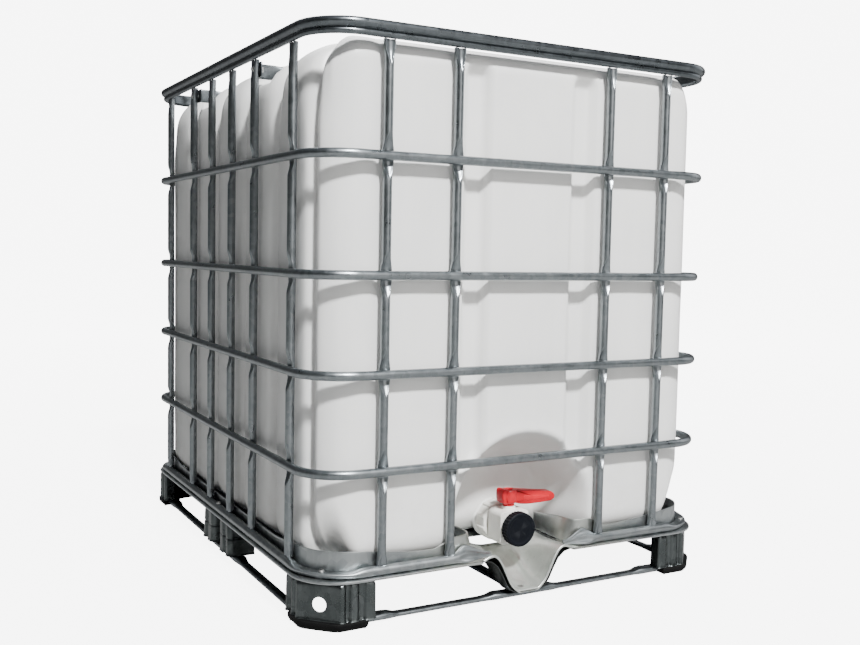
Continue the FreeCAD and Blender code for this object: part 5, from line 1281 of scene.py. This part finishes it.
class BottlePlan:
    """The bottle's plain outline and how far its skin is moulded in from it."""

    def __init__(self):
        self.points, self.normals, _ = rounded_rect(
            BOTTLE_X, BOTTLE_Y, BOTTLE_BEND, step=7.6, arc_steps=24)
        self.count = len(self.points)
        self.x, self.y = self.points.T
        self.facing_x = np.abs(self.normals[:, 0])
        self.side = self.facing_x > 0.72

    def notch(self, width):
        """Upright notches in the left and right sides."""
        depth = np.zeros(self.count)
        for y in (-104, 104, -312, 312):
            depth = np.maximum(depth, ridge((self.y - y) / width) * self.side)
        y_out = np.abs(self.y)
        last = ridge((y_out - 503.0) / (width * 0.8)) * self.side * (y_out < 545)
        return np.maximum(depth, last)

    def side_dents(self, z):
        """Notches that widen upwards, with swelling panels between them."""
        panels = np.array([-409.0, -208.0, 0.0, 208.0, 409.0])
        from_panel = np.min(np.abs(self.y[:, None] - panels[None]), 1)
        high = ease((z - 960.0) / 110.0)
        depth = (17.5 + 9.0 * high) * self.notch(13.0 + 12.0 * high)
        swell = 3.8 * np.clip(from_panel / 104.0, 0, 1) ** 2
        return depth + swell * (np.abs(self.y) < 520) * self.side

    def end_dents(self, z):
        """Channels, grooves and panels of the front and back, and the arch over the valve."""
        x_out = np.abs(self.x)
        channel = 20.0 * (ease((x_out - 99.0) / 17.0) - ease((x_out - 149.0) / 18.0))
        fade = ease((1112.0 - z) / 30.0)
        channel = channel * fade - 1.4 * ridge((x_out - 97.0) / 5.0) * fade
        groove = 6.0 * ridge((x_out - 350.0) / 8.0) * ease((z - 205.0) / 110.0)
        panel = 1.8 * np.clip(np.abs(x_out - 255.0) / 90.0, 0, 1) ** 2
        depth = channel + groove + panel * (x_out > 165) * (x_out < 345)
        from_arch = np.hypot(self.x, np.maximum(z - 178.0, 0.0))
        inside = (176.0 - from_arch) / 64.0
        arch = 130.2 * (0.45 * np.clip(inside, 0, 1) + 0.55 * ease(inside))
        lip = -2.0 * np.exp(-((from_arch - 183.0) / 10.0) ** 2) * (x_out < 200)
        arched = np.maximum(depth * (1 - ease((186 - from_arch) / 22.0)), arch) + lip
        return np.where(self.y < 0, arched, depth)

    def moulded_in(self, z, inset=0.0):
        """Outline at heights z, one for each point, moved in by the dents and `inset`."""
        dents = np.where(self.side, self.side_dents(z), self.end_dents(z))
        dents = dents + 0.7 * ripple(self.x / 90.0 + self.y / 75.0, z / 110.0, 3)
        return self.points - self.normals * (inset + dents)[:, None]


def bottle_walls(plan):
    """Rows from the bottom bend up to the edge of the roof."""
    count = plan.count
    bend = 62.0 + 90.0 * ease(np.minimum(plan.facing_x, np.abs(plan.normals[:, 1])) / 0.69)
    rows = []
    for i in range(15):
        angle = math.pi / 2 * i / 14
        inset = soft_min(bend * (1 - math.sin(angle)), 78.0, 14.0)
        z = BOTTLE_LOW + bend * (1 - math.cos(angle))
        rows.append(np.c_[plan.moulded_in(z, inset), z])
    heights = [BOTTLE_LOW + bend + (366.0 - BOTTLE_LOW - bend) * t
               for t in np.linspace(0, 1, 33)[1:]]
    shoulder_z = BOTTLE_TOP - SHOULDER
    heights += [np.full(count, z) for z in np.arange(378, shoulder_z - 8, 22.0)]
    rows += [np.c_[plan.moulded_in(z), z] for z in heights]
    # the shoulder is tighter at the front and back than at the sides
    radius = 46.0 + 49.0 * ease((plan.facing_x - 0.25) / 0.65)
    straight = SHOULDER - radius
    for t in np.linspace(0, 1, 19):
        run = t * (straight + radius * math.pi / 2)
        angle = np.clip((run - straight) / radius, 0, math.pi / 2)
        z = np.where(run < straight, shoulder_z + run,
                     BOTTLE_TOP - radius + radius * np.sin(angle))
        line = plan.moulded_in(z, radius * (1 - np.cos(angle)))
        z = z - NOTCH_DROP * plan.notch(25.0) * ease(angle / 1.3)
        rows.append(np.c_[line, np.minimum(z, bottle_roof(*line.T))])
    return rows


def bottle_top(plan, edge):
    """Rows from the roof's edge in to the neck, up it and down inside."""
    angle = np.arctan2(edge[:, 1], edge[:, 0])
    round_neck = np.c_[np.cos(angle), np.sin(angle)]
    rows = []
    for t in np.linspace(0.03, 0.985, 38):
        line = edge[:, :2] * (1 - t) + round_neck * 80.0 * t
        run = np.hypot(*(line - edge[:, :2]).T)
        sunk = NOTCH_DROP * plan.notch(25.0) * np.exp(-(run / 62.0) ** 2)
        rows.append(np.c_[line, bottle_roof(*line.T) - sunk])
    threads = [(radius, z + rise) for z in THREAD_HEIGHTS
               for radius, rise in ((75.0, -2.2), (76.3, -1.0), (76.7, 0), (76.3, 1.0), (75.0, 2.2))]
    for radius, z in NECK_FOOT + threads + NECK_RIM:
        rows.append(np.c_[round_neck * radius, np.full(plan.count, z)])
    return rows


def bottle():
    plan = BottlePlan()
    walls = bottle_walls(plan)
    underside = [np.c_[walls[0][:, :2] * (1 - t), np.full(plan.count, BOTTLE_LOW + 1.5 * t)]
                 for t in (0.96, 0.7, 0.4, 0.15)]
    piece = Shells()
    piece.grid(np.array(underside + walls + bottle_top(plan, walls[-1])))
    piece.lathe(SPOUT, axis="-y", at=OUTLET)
    piece.make("bottle_blown", "bottle", "bottle_hdpe", BOTTLE_HDPE, angle=70)


bottle()


# ------------------------------------------------------------------ filling lid
def from_tooth(angle, count):
    """Distance from the middle of the nearest of `count` teeth, in shares of their pitch."""
    return np.abs(((angle * count / (2 * math.pi)) % 1.0) - 0.5)


def lid_grips(angle, radius, z):
    """24 hollows round the lid's skirt."""
    skirt = ((radius > 85.5) & (z < 1127.0)).astype(float)
    return radius - 2.4 * np.exp(-(from_tooth(angle, 24) / 0.26) ** 2) * skirt


# radius, height
LID_PROFILE = [
    (77.2, 1098.0), (84.5, 1097.6), (86.0, 1098.4), (86.9, 1100.0), (86.9, 1104.0),
    (86.9, 1115.0), (86.9, 1121.0), (86.9, 1126.6), (86.2, 1129.4), (84.4, 1131.6),
    (81.0, 1133.4), (78.0, 1134.0), (68.5, 1134.0), (66.0, 1133.2), (63.8, 1130.6),
    (62.4, 1129.0), (60.0, 1128.5), (30.0, 1128.5), (29.0, 1129.2), (27.0, 1129.2),
    (26.0, 1128.5), (0.01, 1128.5), (0.01, 1125.2), (40.0, 1125.2), (76.6, 1125.2),
    (77.2, 1124.6), (77.2, 1110.0)]
LID_RIB = round_poly([(28, -3.4), (63, -3.4), (63, 3.4), (28, 3.4)], 1.5, 3)

lid = Shells()
lid.lathe(LID_PROFILE, segments=144, shape=lid_grips, loop=True)
for i in range(4):
    cosine, sine = math.cos(math.pi / 2 * i), math.sin(math.pi / 2 * i)
    turn = np.array([[cosine, sine, 0], [-sine, cosine, 0], [0, 0, 1]])
    lid.prism(LID_RIB, 1127.8, 1133.0, bevel=1.2, place=lambda points: points @ turn)
lid.make("filling_lid_cap", "filling_lid", "black_plastic", BLACK, body="lid")


# ------------------------------------------------------------------ valve
def nut_lugs(angle, radius, along):
    """10 lugs round the union nut."""
    lug = ease((0.16 - from_tooth(angle, 10)) / 0.05)
    return np.where(radius > 42.5, radius + 2.8 * lug, radius)


def cap_ribs(angle, radius, along):
    """30 ribs round the outlet cap, fading at both rims."""
    rib = 0.5 + 0.5 * np.cos(angle * 30)
    wall = ease((radius - 35.2) / 1.2) * ease((561.2 - along) / 2.0) * ease((along - 541.0) / 2.0)
    return radius - 1.5 * (1 - rib) ** 2 * wall


# radius, distance in front of the middle
UNION_NUT = [
    (31.4, 450.2), (40.0, 450.0), (42.6, 450.8), (43.6, 452.2), (43.9, 454.0), (43.9, 460.0),
    (43.9, 468.0), (43.9, 476.0), (43.8, 479.5), (43.2, 481.4), (41.5, 482.6), (38.0, 483.0),
    (37.2, 482.4), (37.2, 474.5), (31.4, 474.0), (31.2, 465.0)]
OUTLET_CAP = [
    (0.01, 562.3), (12.0, 562.3), (24.0, 562.0), (27.6, 561.8), (28.6, 562.4), (30.0, 563.0),
    (33.0, 563.0), (35.0, 562.5), (36.4, 561.2), (37.0, 559.4), (37.0, 556.0), (37.0, 550.0),
    (37.0, 545.0), (36.8, 543.2), (36.0, 542.2), (32.0, 542.0), (31.0, 542.5), (30.7, 543.6),
    (30.7, 559.6), (0.01, 559.8)]

union_nut = Shells()
union_nut.lathe(UNION_NUT, axis="-y", at=OUTLET, segments=128, shape=nut_lugs, loop=True)
union_nut.make("union_nut_ribbed", "union_nut", "valve_white", WHITE)

outlet_cap = Shells()
outlet_cap.lathe(OUTLET_CAP, axis="-y", at=OUTLET, segments=240, shape=cap_ribs)
outlet_cap.make("outlet_cap_ribbed", "outlet_cap", "black_plastic", BLACK, body="cap")

# hub round the lever's screw: radius, height
LEVER_HUB = [
    (8.0, 184.0), (8.4, 183.2), (11.6, 183.2), (12.4, 184.2), (12.6, 189.0), (14.4, 190.6),
    (16.8, 191.4), (17.6, 193.0), (17.6, 214.0), (17.0, 217.4), (15.2, 219.2), (12.0, 219.6),
    (9.0, 219.4), (8.0, 218.2), (8.0, 205.0)]
# side views: x, height
LEVER_GRIP = round_poly(
    [(9.2, 190.0), (22, 186.0), (44, 184.0), (74, 184.0), (104, 185.6), (113, 190.0),
     (113.5, 199.0), (106, 206.4), (74, 210.0), (40, 214.6), (9.2, 219.0)],
    [1, 8, 8, 8, 8, 7, 8, 9, 8, 8, 1])
LEVER_TAIL = round_poly(
    [(-9.2, 190.5), (-17, 189.5), (-22, 192.0), (-24.4, 202.0), (-24.4, 217.0), (-21, 222.0),
     (-15, 221.6), (-9.2, 219.4)], [1, 4, 4, 5, 5, 4, 4, 1])
LEVER_PANEL = round_poly(
    [(30, 193), (66, 192.0), (98, 192.6), (98, 198.6), (66, 201.5), (30, 205)], 4, 3)

# long grip to the right, short tail to the left, a raised panel on each face of the grip
lever = Shells()
lever.lathe(LEVER_HUB, at=(0, -512, 0), segments=48, loop=True)
for outline, front, back, bevel, steps in ((LEVER_GRIP, -525.5, -498.5, 3.2, 4),
                                           (LEVER_TAIL, -527.0, -497.0, 3.2, 4),
                                           (LEVER_PANEL, -526.6, -497.4, 0.9, 2)):
    lever.prism(outline, front, back, bevel, steps=steps,
                place=lambda points: points[..., [0, 2, 1]])
lever.make("valve_lever_moulded", "valve_lever", "red_plastic", RED, body="lever")

# ------------------------------------------------------------------ CAD pieces kept as they are
# piece: material, width of its softened edges or None
KEPT = {
    "valve_body": (WHITE, 1.6), "valve_ball": (WHITE, None), "seat_retainer": (WHITE, 0.6),
    "ball_seats": (PTFE, None), "valve_stem": (BLACK, 0.5), "lever_screw": (ZINC, 0.4),
    "stem_orings": (RUBBER, None), "outlet_gasket": (RUBBER, None),
    "cap_gasket": (RUBBER, None), "lid_gasket": (RUBBER, None), "foot_centre": (FOOT_STEEL, 1.0),
}


def soften_edges(kept, width):
    weld = kept.modifiers.new("join", "WELD")
    weld.merge_threshold = 1e-5
    bevel = kept.modifiers.new("round", "BEVEL")
    bevel.width = width * MM
    bevel.segments = 2
    bevel.limit_method = "ANGLE"
    bevel.angle_limit = math.radians(32)
    bevel.use_clamp_overlap = True
    normals = kept.modifiers.new("normals", "WEIGHTED_NORMAL")
    normals.keep_sharp = True


for node, (material, width) in KEPT.items():
    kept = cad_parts[node]
    if not kept.data.materials:
        kept.data.materials.append(material)
    for i in range(len(kept.data.materials)):
        kept.data.materials[i] = material
    kept.data.polygons.foreach_set("use_smooth", np.ones(len(kept.data.polygons), bool))
    if width:
        soften_edges(kept, width)

# ------------------------------------------------------------------ floor and world
PALE = 7.6                    # brightness of the background as the camera sees it


def floor_material():
    """Pale floor, lifted towards white for the camera only, so it runs into the background."""
    shader = Shader("floor_pale")
    patches = shader.mask(scale=1.4, window=(0.4, 0.65))
    colour = shader.mix(patches, (0.33, 0.33, 0.326), (0.31, 0.31, 0.306))
    shader.bump(shader.noise(scale=90.0), strength=0.04, distance=0.001)
    shader.finish(colour, rough=0.75)
    away = shader.new("ShaderNodeVectorMath", operation="LENGTH")
    shader.put(away.inputs[0], shader.place)
    lift = shader.span(away.outputs["Value"], window=(1.2, 6.0),
                       result=(PALE * 0.86, PALE * 0.995))
    seen = shader.new("ShaderNodeLightPath")
    glow = shader.new("ShaderNodeEmission")
    glow.inputs["Color"].default_value = (1.0, 1.0, 1.0, 1)
    shader.put(glow.inputs["Strength"],
               shader.math("MULTIPLY", lift, seen.outputs["Is Camera Ray"]))
    both = shader.new("ShaderNodeAddShader")
    output = next(n for n in shader.tree.nodes if n.type == "OUTPUT_MATERIAL")
    shader.put(both.inputs[0], shader.bsdf.outputs[0])
    shader.put(both.inputs[1], glow.outputs[0])
    shader.put(output.inputs["Surface"], both.outputs[0])
    return shader.material


def add_floor(half=30):
    mesh = bpy.data.meshes.new("floor")
    mesh.from_pydata([(-half, -half, 0), (half, -half, 0), (half, half, 0), (-half, half, 0)],
                     [], [(0, 1, 2, 3)])
    floor = bpy.data.objects.new("floor", mesh)
    bpy.context.scene.collection.objects.link(floor)
    mesh.materials.append(floor_material())


def add_world():
    """Soft studio gradient for the light, plain white for the camera."""
    world = bpy.data.worlds.new("studio")
    bpy.context.scene.world = world
    world.use_nodes = True
    nodes, link = world.node_tree.nodes, world.node_tree.links.new
    nodes.clear()
    output = nodes.new("ShaderNodeOutputWorld")
    place = nodes.new("ShaderNodeTexCoord")
    split = nodes.new("ShaderNodeSeparateXYZ")
    link(place.outputs["Generated"], split.inputs[0])
    gradient = nodes.new("ShaderNodeValToRGB")
    link(split.outputs[2], gradient.inputs[0])
    stops = gradient.color_ramp.elements
    stops[0].position = 0.0
    stops[0].color = (0.16, 0.165, 0.165, 1)
    stops[1].position = 0.95
    stops[1].color = (0.62, 0.66, 0.72, 1)
    middle = stops.new(0.22)
    middle.color = (0.24, 0.245, 0.25, 1)
    studio = nodes.new("ShaderNodeBackground")
    studio.inputs["Strength"].default_value = 0.38
    link(gradient.outputs[0], studio.inputs["Color"])
    white = nodes.new("ShaderNodeBackground")
    white.inputs["Color"].default_value = (1.0, 1.0, 1.0, 1)
    white.inputs["Strength"].default_value = PALE
    path = nodes.new("ShaderNodeLightPath")
    choose = nodes.new("ShaderNodeMixShader")
    link(path.outputs["Is Camera Ray"], choose.inputs[0])
    link(studio.outputs[0], choose.inputs[1])
    link(white.outputs[0], choose.inputs[2])
    link(choose.outputs[0], output.inputs["Surface"])


add_floor()
add_world()


# ------------------------------------------------------------------ lights and camera
def direction(azimuth, elevation):
    """Unit vector, angles in radians; azimuth is 0 in front and negative to the left."""
    return Vector((math.sin(azimuth) * math.cos(elevation),
                   -math.cos(azimuth) * math.cos(elevation), math.sin(elevation)))


def area_light(name, azimuth, elevation, distance, size, power, color=(1, 1, 1)):
    """Square light aimed at the container's middle; angles in degrees, lengths in metres."""
    towards = direction(math.radians(azimuth), math.radians(elevation))
    light = bpy.data.lights.new(name, "AREA")
    light.energy = power
    light.color = color
    light.shape = "SQUARE"
    light.size = size
    lamp = bpy.data.objects.new(name, light)
    bpy.context.scene.collection.objects.link(lamp)
    lamp.location = Vector((0, 0, 0.55)) + towards * distance
    lamp.rotation_euler = towards.to_track_quat("Z", "Y").to_euler()


area_light("key", azimuth=-5, elevation=47, distance=12.0, size=1.0, power=3750,
           color=(0.99, 0.995, 1.0))
area_light("fill_front", azimuth=8, elevation=18, distance=5.6, size=3.4, power=62,
           color=(1.0, 0.97, 0.945))
area_light("fill_right", azimuth=75, elevation=20, distance=5.0, size=3.2, power=50,
           color=(0.97, 0.98, 1.0))
area_light("back_light", azimuth=165, elevation=48, distance=5.2, size=2.6, power=120)

CAMERA_PLACE = (-1198.6, -2316.7, 732.9)
CAMERA_ANGLES = (-28.866, 4.107, 1.121)     # azimuth, elevation and roll in degrees
LENS, SENSOR = 42.2292558, 36.0


def add_camera():
    azimuth, elevation, roll = [math.radians(angle) for angle in CAMERA_ANGLES]
    back = direction(azimuth, elevation)
    level = Vector((math.cos(azimuth), math.sin(azimuth), 0.0))
    rise = back.cross(level)
    right = level * math.cos(roll) + rise * math.sin(roll)
    up = -level * math.sin(roll) + rise * math.cos(roll)
    data = bpy.data.cameras.new("camera")
    data.lens = LENS
    data.sensor_width = SENSOR
    data.clip_end = 100.0
    camera = bpy.data.objects.new("camera", data)
    bpy.context.scene.collection.objects.link(camera)
    matrix = Matrix.Identity(4)
    for i in range(3):
        matrix[i][0], matrix[i][1], matrix[i][2] = right[i], up[i], back[i]
        matrix[i][3] = CAMERA_PLACE[i] * MM
    camera.matrix_world = matrix
    bpy.context.scene.camera = camera


add_camera()
